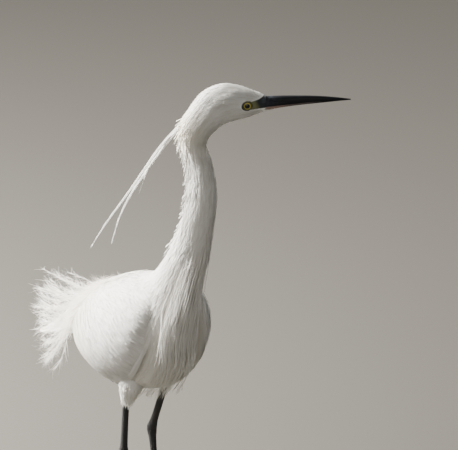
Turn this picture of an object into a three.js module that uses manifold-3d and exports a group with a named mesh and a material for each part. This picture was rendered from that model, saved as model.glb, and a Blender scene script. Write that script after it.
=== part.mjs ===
// A little egret at life size: it stands in mid stride, its neck raised and its head turned to its left.
// Millimetres. While it is modelled, X runs the way the breast faces, Y to the bird's left and Z up from
// the floor. The last lines move the origin to the floor under the middle of its bounding box.

import * as THREE from "three";
import { mergeVertices } from "three/addons/utils/BufferGeometryUtils.js";
import Module from "manifold-3d";

const wasm = await Module();
wasm.setup();

// Driving sizes
const gap = 0.3;
const fleshSides = 20;
const headTurn = 60;
const billLength = 88;
const eyeRadius = 5.4;
const shankRadius = 3.4;
const tarsusRadius = 3.2;
const toeRadius = 2.6;
const footHeight = 12;

// The body from the rump to the root of the bill, as sections across its spine. pitch and yaw say which way
// a section faces, in degrees; depth runs from back to belly, width from side to side.
const spine = {
  rumpTip: { x: -128, y: 0, z: 184, pitch: 20, yaw: 0, depth: 17, width: 16 },
  rump: { x: -110, y: 0, z: 190, pitch: 19, yaw: 0, depth: 38, width: 34 },
  loin: { x: -80, y: 0, z: 200, pitch: 15, yaw: 0, depth: 66, width: 68 },
  back: { x: -40, y: 0, z: 209, pitch: 13, yaw: 0, depth: 94, width: 100 },
  belly: { x: -2, y: 0, z: 215, pitch: 15, yaw: 0, depth: 115, width: 112 },
  breast: { x: 28, y: 0, z: 228, pitch: 31, yaw: 0, depth: 117, width: 105 },
  shoulder: { x: 46, y: 1, z: 255, pitch: 53, yaw: 0, depth: 95, width: 86 },
  neckBase: { x: 60, y: 4, z: 286, pitch: 67, yaw: 2, depth: 56, width: 52 },
  foreneck: { x: 77, y: 11, z: 325, pitch: 70, yaw: 6, depth: 43, width: 40 },
  neckBend: { x: 86, y: 14.5, z: 357, pitch: 79, yaw: 14, depth: 36, width: 33 },
  neckMiddle: { x: 90, y: 17.5, z: 391, pitch: 91, yaw: 24, depth: 33, width: 30 },
  neckUpper: { x: 83.4, y: 18.4, z: 421, pitch: 102, yaw: 36, depth: 28, width: 25 },
  nape: { x: 74.2, y: 15.8, z: 440, pitch: 96, yaw: 48, depth: 29, width: 26 },
  headBack: { x: 73, y: 17.3, z: 455, pitch: 68, yaw: 57, depth: 32, width: 27 },
  hindcrown: { x: 77.6, y: 25, z: 469, pitch: 49, yaw: 60, depth: 35, width: 29 },
  crown: { x: 83.4, y: 34.5, z: 481.6, pitch: 31, yaw: 60, depth: 40.2, width: 31 },
  brow: { x: 91.2, y: 48, z: 488, pitch: 18, yaw: 60, depth: 41, width: 31 },
  eyeLine: { x: 99.2, y: 61.9, z: 488.3, pitch: 9, yaw: 60, depth: 34, width: 27 },
  lore: { x: 104.9, y: 71.7, z: 488, pitch: 6, yaw: 60, depth: 26, width: 20 },
  billRoot: { x: 110.4, y: 81.2, z: 487.2, pitch: 0, yaw: 60, depth: 16.8, width: 13 },
};

// The folded wing, as upright sections through the shell that it and its fellow make over the body. top and
// bottom are the angles, from straight up, where the wing starts and ends; thick is the shell's own depth.
const wingFold = [
  { x: 67, z: 244, depth: 72, width: 66, top: 66, bottom: 112, thick: 6 },
  { x: 56, z: 236, depth: 101, width: 94, top: 40, bottom: 128, thick: 10 },
  { x: 32, z: 227, depth: 120, width: 117, top: 28, bottom: 141, thick: 12 },
  { x: -5, z: 217, depth: 123, width: 126, top: 20, bottom: 136, thick: 12 },
  { x: -42, z: 211, depth: 105, width: 114, top: 16, bottom: 130, thick: 12 },
  { x: -78, z: 203, depth: 80, width: 84, top: 13, bottom: 124, thick: 10 },
  { x: -112, z: 193, depth: 51, width: 48, top: 12, bottom: 114, thick: 5.5 },
  { x: -142, z: 185, depth: 32, width: 30, top: 11, bottom: 106, thick: 3.2 },
  { x: -166, z: 177, depth: 19, width: 15, top: 10, bottom: 98, thick: 2 },
];

// Tiers of feathers on the folded wing. from and to count sections of wingFold, and sag is how far across
// the wing a feather drifts towards the lower edge on its way back.
const wingTiers = [
  { name: "lesser", count: 4, from: 0.7, to: 2.2, low: 0.02, high: 0.95, sag: 0.03, steps: 2 },
  { name: "median", count: 5, from: 1.5, to: 3.2, low: 0.01, high: 0.96, sag: 0.03, steps: 2 },
  { name: "greater", count: 5, from: 2.5, to: 4.4, low: 0.01, high: 0.97, sag: 0.02, steps: 3 },
  { name: "secondary", count: 5, from: 3.7, to: 6.3, low: 0.01, high: 0.98, sag: 0.01, steps: 4 },
  { name: "primary", count: 5, from: 5.4, to: 8.3, low: 0.12, high: 0.88, sag: 0, steps: 4 },
];

// Legs: where each joint stands. The right leg reaches forward and the left one trails.
const legs = {
  right: {
    side: -1,
    thighTop: [32, -30, 190],
    thighEnd: [9, -27.5, 138],
    ankle: [1.5, -26, 84.5],
    foot: [41, -26, 0],
  },
  left: {
    side: 1,
    thighTop: [14, 31, 192],
    thighEnd: [-8, 28, 144],
    ankle: [-33.5, 28, 93],
    foot: [-18, 28, 0],
  },
};

// Toes of one foot. turn is measured from straight ahead towards the outer side.
const toes = [
  { name: "inner", turn: -34, length: 46 },
  { name: "middle", turn: 2, length: 58 },
  { name: "outer", turn: 36, length: 48 },
  { name: "hind", turn: 190, length: 30 },
];

// Colours from the photograph
const paint = {
  plumage: { color: 0xf4f3ee, roughness: 0.85, metalness: 0 },
  plume: { color: 0xf0ede2, roughness: 0.8, metalness: 0 },
  bill: { color: 0x15171b, roughness: 0.35, metalness: 0 },
  billBase: { color: 0x8d7a76, roughness: 0.45, metalness: 0 },
  lore: { color: 0x5b6146, roughness: 0.55, metalness: 0 },
  eye: { color: 0xd8cf6a, roughness: 0.12, metalness: 0 },
  leg: { color: 0x1b1d1f, roughness: 0.5, metalness: 0 },
  foot: { color: 0xb5a43c, roughness: 0.6, metalness: 0 },
  claw: { color: 0x201d1a, roughness: 0.4, metalness: 0 },
};

const degrees = THREE.MathUtils.degToRad;
const lerp = THREE.MathUtils.lerp;
const clamp = THREE.MathUtils.clamp;
const vector = (x, y, z) => new THREE.Vector3(x, y, z);
const firstDraw = 71;
THREE.MathUtils.seededRandom(firstDraw);
const jitter = (size) => (THREE.MathUtils.seededRandom() * 2 - 1) * size;

// The unit vector that faces a given pitch and yaw
function heading(pitch, yaw) {
  const p = degrees(pitch);
  const w = degrees(yaw);
  return vector(Math.cos(p) * Math.cos(w), Math.cos(p) * Math.sin(w), Math.sin(p));
}

// A smooth reading between the rows of a table, for every value in them
function between(rows, place) {
  const last = rows.length - 1;
  const at = clamp(place, 0, last);
  const i = Math.min(Math.floor(at), last - 1);
  const f = at - i;
  const found = {};
  for (const key of Object.keys(rows[0])) {
    const [a, b, c, d] = [-1, 0, 1, 2].map((k) => rows[clamp(i + k, 0, last)][key]);
    found[key] = b + 0.5 * f * (c - a + f * (2 * a - 5 * b + 4 * c - d + f * (3 * (b - c) + d - a)));
  }
  return found;
}

// A closed solid through rings of the same number of points, its two ends capped. Both halves of a ring are
// split into triangles alike, so that the two faces of a thin feather keep apart where it curves.
function ringSolid(rings) {
  const sides = rings[0].length;
  const points = rings.flat();
  const centre = (ring) => ring.reduce((sum, p) => sum.add(p), vector(0, 0, 0)).divideScalar(sides);
  const first = points.push(centre(rings[0])) - 1;
  const last = points.push(centre(rings[rings.length - 1])) - 1;
  const triangles = [];
  for (let r = 0; r < rings.length - 1; r++) {
    for (let s = 0; s < sides; s++) {
      const a = r * sides + s;
      const b = r * sides + ((s + 1) % sides);
      if (s < sides / 2) triangles.push([a, b, b + sides], [a, b + sides, a + sides]);
      else triangles.push([a, b, a + sides], [b, b + sides, a + sides]);
    }
  }
  const end = (rings.length - 1) * sides;
  for (let s = 0; s < sides; s++) {
    const next = (s + 1) % sides;
    triangles.push([first, next, s], [last, end + s, end + next]);
  }
  const build = (faces) =>
    new wasm.Manifold(
      new wasm.Mesh({
        numProp: 3,
        vertProperties: new Float32Array(points.flatMap((p) => [p.x, p.y, p.z])),
        triVerts: new Uint32Array(faces.flat()),
      }),
    );
  const made = build(triangles);
  return made.volume() > 0 ? made : build(triangles.map(([a, b, c]) => [a, c, b]));
}

// A closed three.js geometry as a solid that can be cut and joined
function geometrySolid(geometry) {
  const bare = geometry.clone();
  bare.deleteAttribute("normal");
  bare.deleteAttribute("uv");
  const merged = mergeVertices(bare, 1e-4);
  return new wasm.Manifold(
    new wasm.Mesh({
      numProp: 3,
      vertProperties: new Float32Array(merged.attributes.position.array),
      triVerts: new Uint32Array(merged.index.array),
    }),
  );
}

const ball = (centre, radius, around = 10, down = 7) =>
  geometrySolid(new THREE.SphereGeometry(radius, around, down).translate(centre.x, centre.y, centre.z));

// Pieces fused into one solid
function fused(pieces) {
  let layer = pieces;
  while (layer.length > 1) {
    const joined = [];
    for (let i = 0; i < layer.length; i += 2) {
      joined.push(layer[i + 1] ? layer[i].add(layer[i + 1]) : layer[i]);
    }
    layer = joined;
  }
  return layer[0];
}

// The largest closed surface of a solid
const largest = (solid) =>
  solid.decompose().reduce((best, one) => (one.volume() > best.volume() ? one : best));

const bird = new THREE.Group();

// Adds a solid to the bird as a named mesh in its own material
function addNode(name, solid, look) {
  const mesh = largest(solid).getMesh();
  const corners = new Float32Array(mesh.numVert * 3);
  for (let i = 0; i < mesh.numVert; i++) {
    corners.set(mesh.vertProperties.subarray(i * mesh.numProp, i * mesh.numProp + 3), i * 3);
  }
  const geometry = new THREE.BufferGeometry();
  geometry.setAttribute("position", new THREE.BufferAttribute(corners, 3));
  geometry.setIndex(new THREE.BufferAttribute(new Uint32Array(mesh.triVerts), 1));
  geometry.computeVertexNormals();
  const node = new THREE.Mesh(geometry, new THREE.MeshStandardMaterial(look));
  node.name = name;
  bird.add(node);
}

// The flesh, from rump to bill root
const spineNames = Object.keys(spine);
const spineRows = Object.values(spine);
const at = (name) => spineNames.indexOf(name);

// A point of the plumage: place counts sections of the spine, angle runs from 0 on the back to 180 on the
// belly, positive on the bird's left, lift raises it and slide moves it along the spine
function fleshPoint(place, angle, lift = 0, slide = 0) {
  const s = between(spineRows, place);
  const forward = heading(s.pitch, s.yaw);
  const up = heading(s.pitch + 90, s.yaw);
  const left = vector(0, 0, 0).crossVectors(up, forward);
  const turn = degrees(angle);
  return vector(s.x, s.y, s.z)
    .addScaledVector(up, Math.cos(turn) * (s.depth / 2 + lift))
    .addScaledVector(left, Math.sin(turn) * (s.width / 2 + lift))
    .addScaledVector(forward, slide);
}

function fleshSolid(from, to, steps, lift = 0, trimFrom = 0, trimTo = 0) {
  const rings = [];
  for (let k = 0; k <= steps; k++) {
    const slide = k === 0 ? trimFrom : k === steps ? -trimTo : 0;
    const ring = [];
    for (let s = 0; s < fleshSides; s++) {
      ring.push(fleshPoint(lerp(from, to, k / steps), (s * 360) / fleshSides, lift, slide));
    }
    rings.push(ring);
  }
  return ringSolid(rings);
}

const half = gap / 2;
const torsoSteps = 14;
const neckSteps = 4;
const headSteps = 15;
const torso = fleshSolid(0, at("neckBase"), torsoSteps, 0, 0, half);
const neckLower = fleshSolid(at("neckBase"), at("neckBend"), neckSteps, 0, half, half);
const neckMiddle = fleshSolid(at("neckBend"), at("neckUpper"), neckSteps, 0, half, half);
const neckUpper = fleshSolid(at("neckUpper"), at("headBack"), neckSteps, 0, half, half);
const headPlain = fleshSolid(at("headBack"), at("billRoot"), headSteps, 0, half, 0);
const clearance = gap + 0.1;
const fleshWithGap = fused([
  fleshSolid(0, at("neckBase"), torsoSteps, clearance, -clearance, -clearance),
  fleshSolid(at("neckBase"), at("neckBend"), neckSteps, clearance),
]);

// The head's own axes, with their origin in the middle of the bill's root
const billRoot = vector(spine.billRoot.x, spine.billRoot.y, spine.billRoot.z);
const headForward = heading(0, headTurn);
const headLeft = heading(0, headTurn + 90);
const headUp = vector(0, 0, 1);
const headPoint = (along, left, up) =>
  billRoot
    .clone()
    .addScaledVector(headForward, along)
    .addScaledVector(headLeft, left)
    .addScaledVector(headUp, up);

// Bare skin of the lores: an outline from the bill round the eye, cut right through the head
const eyeAlong = -18.5;
const eyeUp = 0.6;
const eyeOut = 7.6;
const lores = {
  top: [[4, 6.9], [-7, 6.1], [-13.3, 5.4]],
  bottom: [[-12, -4], [4, -2.4]],
  round: 5.6,
  from: 62,
  to: 262,
  through: 40,
};
function loreSlab(grow) {
  const outline = new THREE.Shape();
  outline.moveTo(lores.top[0][0], lores.top[0][1] + grow);
  for (const [along, up] of lores.top.slice(1)) outline.lineTo(along, up + grow);
  outline.absarc(eyeAlong, eyeUp, lores.round + grow, degrees(lores.from), degrees(lores.to), false);
  for (const [along, up] of lores.bottom) outline.lineTo(along, up - grow);
  const slab = new THREE.ExtrudeGeometry(outline, {
    depth: lores.through,
    bevelEnabled: false,
    curveSegments: 6,
  });
  const axes = new THREE.Matrix4().makeBasis(headForward, headUp, headLeft.clone().negate());
  return geometrySolid(slab.applyMatrix4(axes.setPosition(headPoint(0, lores.through / 2, 0))));
}

const sideOf = { right: -1, left: 1 };
const eyeCentre = (side) => headPoint(eyeAlong, side * eyeOut, eyeUp);
const sockets = fused(Object.values(sideOf).map((side) => ball(eyeCentre(side), eyeRadius + clearance)));

// A raised lid round each eye
const lid = { radius: 4.5, tube: 1.15, out: 3.9, stretch: [1.08, 0.98, 0.8] };
function lidRing(side, grow = 0) {
  const ring = new THREE.TorusGeometry(lid.radius, lid.tube + grow, 4, 12);
  ring.scale(...lid.stretch);
  const out = headLeft.clone().multiplyScalar(side);
  const axes = new THREE.Matrix4().makeBasis(headForward, headUp, out.clone());
  if (axes.determinant() < 0) axes.makeBasis(headForward.clone().negate(), headUp, out.clone());
  const seat = headPoint(eyeAlong, side * (eyeOut + lid.out), eyeUp);
  return geometrySolid(ring.applyMatrix4(axes.setPosition(seat)));
}

const lids = fused([lidRing(sideOf.right), lidRing(sideOf.left)]);
const lidClearance = fused([lidRing(sideOf.right, clearance * 1.5), lidRing(sideOf.left, clearance * 1.5)]);
const loreSolid = headPlain.intersect(loreSlab(0)).add(lids).subtract(sockets);
const headSolid = headPlain.subtract(loreSlab(gap + 0.05)).subtract(lidClearance).subtract(sockets);

addNode("torso", torso, paint.plumage);
addNode("neck_lower", neckLower, paint.plumage);
addNode("neck_middle", neckMiddle, paint.plumage);
addNode("neck_upper", neckUpper, paint.plumage);
addNode("head", headSolid, paint.plumage);
addNode("lores", loreSolid, paint.lore);
for (const [name, side] of Object.entries(sideOf)) {
  addNode("eye_" + name, ball(eyeCentre(side), eyeRadius), paint.eye);
}

// The bill: heights of the culmen, the mouth line and the keel over the root's middle, and the width
const billProfile = [
  { along: 0, top: 7.3, mouth: -2.7, keel: -7.2, width: 11.6 },
  { along: 12, top: 7.9, mouth: -1.6, keel: -5.3, width: 9.6 },
  { along: 28, top: 8.1, mouth: -0.1, keel: -2.8, width: 7.6 },
  { along: 50, top: 7.9, mouth: 2, keel: -0.4, width: 5.6 },
  { along: 70, top: 6.6, mouth: 3.2, keel: 1.7, width: 3.8 },
  { along: billLength, top: 4.5, mouth: 3.8, keel: 3.5, width: 0.9 },
];

// Half of the bill, above or below the mouth line, with its flat side on that line
function billHalf(upper) {
  const steps = 9;
  const curve = 7;
  const rings = [];
  for (let k = 0; k <= steps; k++) {
    const s = between(billProfile, (k / steps) * (billProfile.length - 1));
    const reach = (upper ? s.top : s.keel) - s.mouth;
    const lip = s.mouth + (Math.sign(reach) * gap) / 2;
    const ring = [];
    for (let c = 0; c <= curve; c++) {
      const turn = (Math.PI * c) / curve;
      const out = Math.cos(turn) * (s.width / 2);
      const rise = Math.sin(turn) ** 0.8 * Math.max(Math.abs(reach) - half, 0.35);
      ring.push(headPoint(s.along + gap, out, lip + Math.sign(reach) * rise));
    }
    rings.push(ring);
  }
  return ringSolid(rings);
}

// A slit of a nostril in its groove, one on each side
const nostrilAt = { along: 13, out: 5.1, up: 2.6, stretch: [5.5, 1.3, 0.9] };
function nostril(side) {
  const slit = new THREE.SphereGeometry(1, 10, 6).scale(...nostrilAt.stretch);
  const axes = new THREE.Matrix4().makeBasis(headForward, headLeft, headUp);
  const seat = headPoint(nostrilAt.along, side * nostrilAt.out, nostrilAt.up);
  return geometrySolid(slit.applyMatrix4(axes.setPosition(seat)));
}

const nostrils = fused([nostril(sideOf.right), nostril(sideOf.left)]);
addNode("bill_upper", billHalf(true).subtract(nostrils), paint.bill);
addNode("bill_lower", billHalf(false), paint.bill);

// A point of the folded wing: place counts its sections, across runs from 0 at the upper edge to 1 at the
// lower, and lift is measured from the shell's outer face. Past the last section the feathers run on behind.
const wingBeyond = { back: 24, down: 4, least: 0.4 };
function wingPoint(side, place, across, lift) {
  const s = between(wingFold, place);
  const turn = degrees(lerp(s.top, s.bottom, across));
  const beyond = Math.max(place - (wingFold.length - 1), 0);
  return vector(
    s.x - beyond * wingBeyond.back,
    side * Math.sin(turn) * Math.max(s.width / 2 + lift, wingBeyond.least),
    s.z + Math.cos(turn) * (s.depth / 2 + lift) - beyond * wingBeyond.down,
  );
}

// A feather's outline: how much of its full width it has at each share of its length
const vaneOutline = (share) => 0.8 + 0.2 * Math.sin(Math.min(share * 1.5, 1) * Math.PI * 0.5);
const roundTip = (share) => Math.sqrt(Math.max(1 - Math.max((share - 0.72) / 0.28, 0) ** 2, 0.03));

// One feather of the wing as a shallow shingle. low and high are the lifts of its upper and under face at
// its root and at its tip.
function wingVane(side, tier, middle, reach, low, high) {
  const rings = [];
  for (let k = 0; k <= tier.steps; k++) {
    const share = k / tier.steps;
    const place = lerp(tier.from, reach, share);
    const across = middle + tier.sag * share;
    const spread = ((0.485 * (tier.high - tier.low)) / tier.count) * vaneOutline(share) * roundTip(share);
    const top = lerp(low[0], high[0], share);
    const under = lerp(low[1], high[1], share);
    const upper = Math.max(across - spread, 0);
    const lower = Math.min(across + spread, 1);
    rings.push([
      wingPoint(side, place, upper, top - 0.5),
      wingPoint(side, place, across, top + 0.25),
      wingPoint(side, place, lower, top - 0.5),
      wingPoint(side, place, across, under),
    ]);
  }
  return ringSolid(rings);
}

// The shell under the wing's feathers, or with values a larger one that clears it
function wingShell(side, lift = 0, grow = 0, sunk = 0) {
  const steps = 10;
  const arc = 5;
  const rings = [];
  for (let k = 0; k <= steps; k++) {
    const place = (k / steps) * (wingFold.length - 1.6);
    const thick = between(wingFold, place).thick;
    const outer = [];
    const inner = [];
    for (let c = 0; c <= arc; c++) {
      const across = lerp(-grow, 1 + grow, c / arc);
      outer.push(wingPoint(side, place, across, lift));
      inner.unshift(wingPoint(side, place, across, -thick - sunk));
    }
    rings.push([...outer, ...inner]);
  }
  return ringSolid(rings);
}

const vaneRoot = [-0.6, -2.6];
const shingledTip = [1.3, -1.2];
const freeTip = [0.5, -0.9];
function wing(side) {
  const pieces = [wingShell(side)];
  for (const tier of wingTiers) {
    const free = tier.name === "primary";
    for (let i = 0; i < tier.count; i++) {
      const middle = lerp(tier.low, tier.high, (i + 0.5) / tier.count);
      const reach = tier.to + jitter(0.1) - (free ? Math.abs(middle - 0.35) * 1.3 : 0);
      pieces.push(wingVane(side, tier, middle, reach, vaneRoot, free ? freeTip : shingledTip));
    }
  }
  return fused(pieces).subtract(fleshWithGap);
}

for (const [name, side] of Object.entries(sideOf)) {
  addNode("wing_" + name, wing(side), paint.plumage);
}

// A thin, tapered feather along a path. flat says which way its face looks at each share of the path, and
// width is its full breadth
function plume(path, flat, width, thick, steps) {
  const rings = [];
  for (let k = 0; k <= steps; k++) {
    const share = k / steps;
    const centre = path.getPoint(share);
    const along = path.getTangent(share);
    const side = vector(0, 0, 0).crossVectors(along, flat(share)).normalize();
    const face = vector(0, 0, 0).crossVectors(side, along).normalize();
    const swell = 0.45 + 0.55 * Math.sin(Math.PI * Math.min(share * 1.1 + 0.12, 1));
    const breadth = (width / 2) * swell * (share > 0.98 ? 0.3 : 1);
    const depth = (thick / 2) * lerp(1, 0.45, share);
    rings.push([
      centre.clone().addScaledVector(side, breadth),
      centre.clone().addScaledVector(face, depth),
      centre.clone().addScaledVector(side, -breadth),
      centre.clone().addScaledVector(face, -depth),
    ]);
  }
  return ringSolid(rings);
}

// The tail: a short root behind the rump, and a shallow fan of feathers
const tailRoot = { x: -124, z: 180, length: 20, halfWidth: 10, halfDepth: 5, widen: 3, fall: 3 };
const tailFan = { count: 7, length: 56, reach: 14, drop: 13, step: 4.2, rootWidth: 8, width: 12, thick: 1.4 };
function tail() {
  const rings = [];
  const steps = 4;
  const around = 12;
  for (let k = 0; k <= steps; k++) {
    const share = k / steps;
    const swell = Math.sqrt(1 - (share * 0.92) ** 2);
    const ring = [];
    for (let s = 0; s < around; s++) {
      const turn = (s / around) * Math.PI * 2;
      ring.push(
        vector(
          tailRoot.x - tailRoot.length * share,
          Math.cos(turn) * (tailRoot.halfWidth + tailRoot.widen * share),
          tailRoot.z - tailRoot.fall * share + Math.sin(turn) * tailRoot.halfDepth * swell,
        ),
      );
    }
    rings.push(ring);
  }
  const pieces = [ringSolid(rings)];
  for (let i = 0; i < tailFan.count; i++) {
    const spread = (i / (tailFan.count - 1)) * 2 - 1;
    const rank = (1 - Math.abs(spread)) * tailFan.step;
    const seat = tailRoot.z - tailRoot.fall + rank * 0.6;
    const root = vector(tailRoot.x - 6, spread * tailFan.rootWidth, seat);
    const run = vector(-tailFan.length + 7 * spread ** 2, spread * tailFan.reach, rank * 0.4 - tailFan.drop);
    const tip = root.clone().add(run);
    const bend = root.clone().lerp(tip, 0.5).add(vector(0, 0, 1.2));
    const path = new THREE.CatmullRomCurve3([root, bend, tip]);
    pieces.push(plume(path, () => vector(0.1, spread * 0.35, 1), tailFan.width, tailFan.thick, 4));
  }
  return fused(pieces).subtract(fleshWithGap);
}
addNode("tail", tail(), paint.plumage);

// Loose back plumes that start between the wings, lie over them and fan out past the rump
const mantle = { from: 2, to: 5.3, lift: 1, sink: 14, margin: 2.4 };

// A point over the wings: turn is the angle from straight up, positive on the left
function overWings(place, turn, lift) {
  const s = between(wingFold, place);
  const a = degrees(turn);
  return vector(s.x, Math.sin(a) * (s.width / 2 + lift), s.z + Math.cos(a) * (s.depth / 2 + lift));
}

// The saddle of feathers between the wings that carries the plumes
function mantleSaddle() {
  const steps = 6;
  const arc = 4;
  const rings = [];
  for (let k = 0; k <= steps; k++) {
    const place = lerp(mantle.from, mantle.to, k / steps);
    const s = between(wingFold, place);
    const reach = s.top - THREE.MathUtils.radToDeg(mantle.margin / (s.width / 2));
    const outer = [];
    const inner = [];
    for (let c = 0; c <= arc; c++) {
      const turn = lerp(-reach, reach, c / arc);
      outer.push(overWings(place, turn, mantle.lift));
      inner.unshift(overWings(place, turn, -mantle.sink));
    }
    rings.push([...outer, ...inner]);
  }
  return ringSolid(rings);
}

// place and turn are where a plume leaves the wings: the middle ones further back, the outer ones lower down
const backPlume = { count: 15, layers: 3, width: 8, thick: 1.1, steps: 6, rise: 4.2, nextRise: 1.3 };
const backPlumeLeave = { place: [5.7, 5.1], turn: [40, 86] };
const backPlumeTip = { x: [-214, -122], y: 50, z: [222, 156] };
function backPlumes() {
  const pieces = [mantleSaddle()];
  for (let i = 0; i < backPlume.count; i++) {
    const fan = (i / (backPlume.count - 1)) * 2 - 1;
    const out = Math.abs(fan);
    const layer = i % backPlume.layers;
    const rootPlace = 4 - 0.7 * layer + jitter(0.12);
    const rootTurn = between(wingFold, rootPlace + 0.3).top * 0.7;
    const lastPlace = lerp(...backPlumeLeave.place, out);
    const lastTurn = lerp(...backPlumeLeave.turn, out);
    const rise = backPlume.rise + backPlume.nextRise * layer;
    const path = [overWings(rootPlace, fan * rootTurn * 0.8, -2)];
    for (const share of [0, 0.25, 0.5, 0.75, 1]) {
      const place = lerp(rootPlace + 0.3, lastPlace, share);
      path.push(overWings(place, fan * lerp(rootTurn, lastTurn, share ** 1.2), rise + 0.8 * share));
    }
    const tip = vector(
      lerp(...backPlumeTip.x, out ** 1.15) + 9 * layer + jitter(5),
      backPlumeTip.y * Math.sin((fan * Math.PI) / 2) + jitter(3),
      lerp(...backPlumeTip.z, out ** 1.2) - 4 * layer + jitter(4),
    );
    path.push(tip.clone().add(vector(lerp(50, 16, out), -3 * fan, lerp(1, 22, out))), tip);
    const flat = (share) => {
      const over = clamp(share * 1.75 - 0.25, 0, 1) ** 1.2;
      const turn = degrees(fan * lerp(rootTurn, lastTurn, over));
      return vector(0.12, Math.sin(turn), Math.cos(turn));
    };
    const curve = new THREE.CatmullRomCurve3(path);
    pieces.push(plume(curve, flat, backPlume.width, backPlume.thick, backPlume.steps));
  }
  return fused(pieces).subtract(fleshWithGap);
}
addNode("back_plumes", backPlumes(), paint.plume);

// Hanging plumes of the lower foreneck, on a thin bib
const bib = { from: 7.25, to: 8.6, spread: 46, lift: 1.4, sink: 3 };
function bibPad() {
  const steps = 4;
  const arc = 5;
  const rings = [];
  for (let k = 0; k <= steps; k++) {
    const share = k / steps;
    const place = lerp(bib.from, bib.to, share);
    const round = Math.sqrt(Math.max(1 - (2 * share - 1) ** 4, 0.12));
    const outer = [];
    const inner = [];
    for (let c = 0; c <= arc; c++) {
      const angle = 180 + lerp(-bib.spread, bib.spread, c / arc) * round;
      outer.push(fleshPoint(place, angle, bib.lift * round + 0.4));
      inner.unshift(fleshPoint(place, angle, -bib.sink));
    }
    rings.push([...outer, ...inner]);
  }
  return ringSolid(rings);
}

// place is where a row is rooted and reach where its middle plume ends, both as sections of the spine
const breastPlumeRows = [
  { place: 8.35, count: 5, spread: 28, reach: 4.8 },
  { place: 7.9, count: 6, spread: 38, reach: 4.7 },
  { place: 7.45, count: 5, spread: 40, reach: 4.9 },
];
const breastPlume = { width: 6.5, thick: 1, steps: 5, lift: 4.4, nextLift: -1.3, drop: 0.4 };
function breastPlumes() {
  const pieces = [bibPad()];
  breastPlumeRows.forEach((row, layer) => {
    const lift = breastPlume.lift + breastPlume.nextLift * layer;
    for (let i = 0; i < row.count; i++) {
      const fan = (i / (row.count - 1)) * 2 - 1;
      const start = row.place - breastPlume.drop;
      const reach = row.reach + 0.3 * Math.abs(fan) + jitter(0.06);
      const angle = (share) => 180 - fan * row.spread * lerp(1, 0.7, share);
      const path = new THREE.CatmullRomCurve3([
        fleshPoint(row.place, angle(0), -0.8),
        fleshPoint(start, angle(0), lift),
        fleshPoint(6.3, angle(0.35), lift + 1.5),
        fleshPoint(5.6, angle(0.7), lift + 2),
        fleshPoint(reach, angle(1), lift + 3),
      ]);
      const flat = (share) => {
        const place = lerp(start, reach, share);
        return fleshPoint(place, angle(share), 1).sub(fleshPoint(place, angle(share), 0));
      };
      pieces.push(plume(path, flat, breastPlume.width, breastPlume.thick, breastPlume.steps));
    }
  });
  return fused(pieces).subtract(fleshWithGap);
}
addNode("breast_plumes", breastPlumes(), paint.plume);

// Two long plumes of the nape and a shorter one, on a small pad. The paths are along and up from the bill's
// root, and left is how far a tip drifts to the side.
const napeSeat = { place: 13.05, radius: 4, sunk: 1.6 };
const napePlume = { width: 4.4, thick: 1.5 };
const napePlumePaths = [
  { left: -5, points: [[-110, -50], [-139, -94], [-164, -130], [-177, -151]] },
  { left: 6, points: [[-106, -50], [-134, -93], [-149, -123], [-157, -149]] },
  { left: 1, points: [[-104, -47], [-120, -70], [-128, -92]] },
];
function napePlumes() {
  const pieces = [ball(fleshPoint(napeSeat.place, 0, -napeSeat.sunk), napeSeat.radius, 10, 7)];
  napePlumePaths.forEach((one, i) => {
    const last = one.points.length;
    const path = new THREE.CatmullRomCurve3([
      fleshPoint(napeSeat.place, 14 - 14 * i, -0.4),
      ...one.points.map(([along, up], k) => headPoint(along, (one.left * (k + 1)) / last, up)),
    ]);
    pieces.push(plume(path, () => vector(0.3, 0.3, 1), napePlume.width, napePlume.thick, 2 * last));
  });
  const headWithGap = fused([
    fleshSolid(at("neckUpper"), at("headBack"), neckSteps, clearance),
    fleshSolid(at("headBack"), at("billRoot"), headSteps, clearance),
  ]);
  return fused(pieces).subtract(headWithGap);
}
addNode("nape_plumes", napePlumes(), paint.plume);

// A limb through points, each with its own radius. A point can say which way its ring is to face.
function limb(points, sides = 9, floor = -Infinity) {
  const whole = vector(...points[points.length - 1].p).sub(vector(...points[0].p)).normalize();
  const side = Math.abs(whole.z) > 0.7 ? vector(0, 1, 0) : vector(-whole.y, whole.x, 0);
  const rings = points.map(({ p, r, facing }, i) => {
    const before = points[Math.max(i - 1, 0)].p;
    const after = points[Math.min(i + 1, points.length - 1)].p;
    const along = facing ?? vector(...after).sub(vector(...before)).normalize();
    const across = vector(0, 0, 0).crossVectors(along, side).normalize();
    const level = vector(0, 0, 0).crossVectors(across, along).normalize();
    const ring = [];
    for (let s = 0; s < sides; s++) {
      const turn = (s / sides) * Math.PI * 2;
      const corner = vector(...p)
        .addScaledVector(level, Math.cos(turn) * r)
        .addScaledVector(across, Math.sin(turn) * r);
      corner.z = Math.max(corner.z, floor);
      ring.push(corner);
    }
    return ring;
  });
  return ringSolid(rings);
}

const mix = (a, b, share) => a.map((value, i) => lerp(value, b[i], share));
const away = (from, to, distance) => {
  const length = Math.hypot(...from.map((value, i) => to[i] - value));
  return mix(from, to, distance / length);
};

const thighTaper = [20, 19, 17, 14.2, 11.3, 8.4, 6];
const thighFeather = { count: 8, width: 7, thick: 1.6, end: 4.7 };

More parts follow.
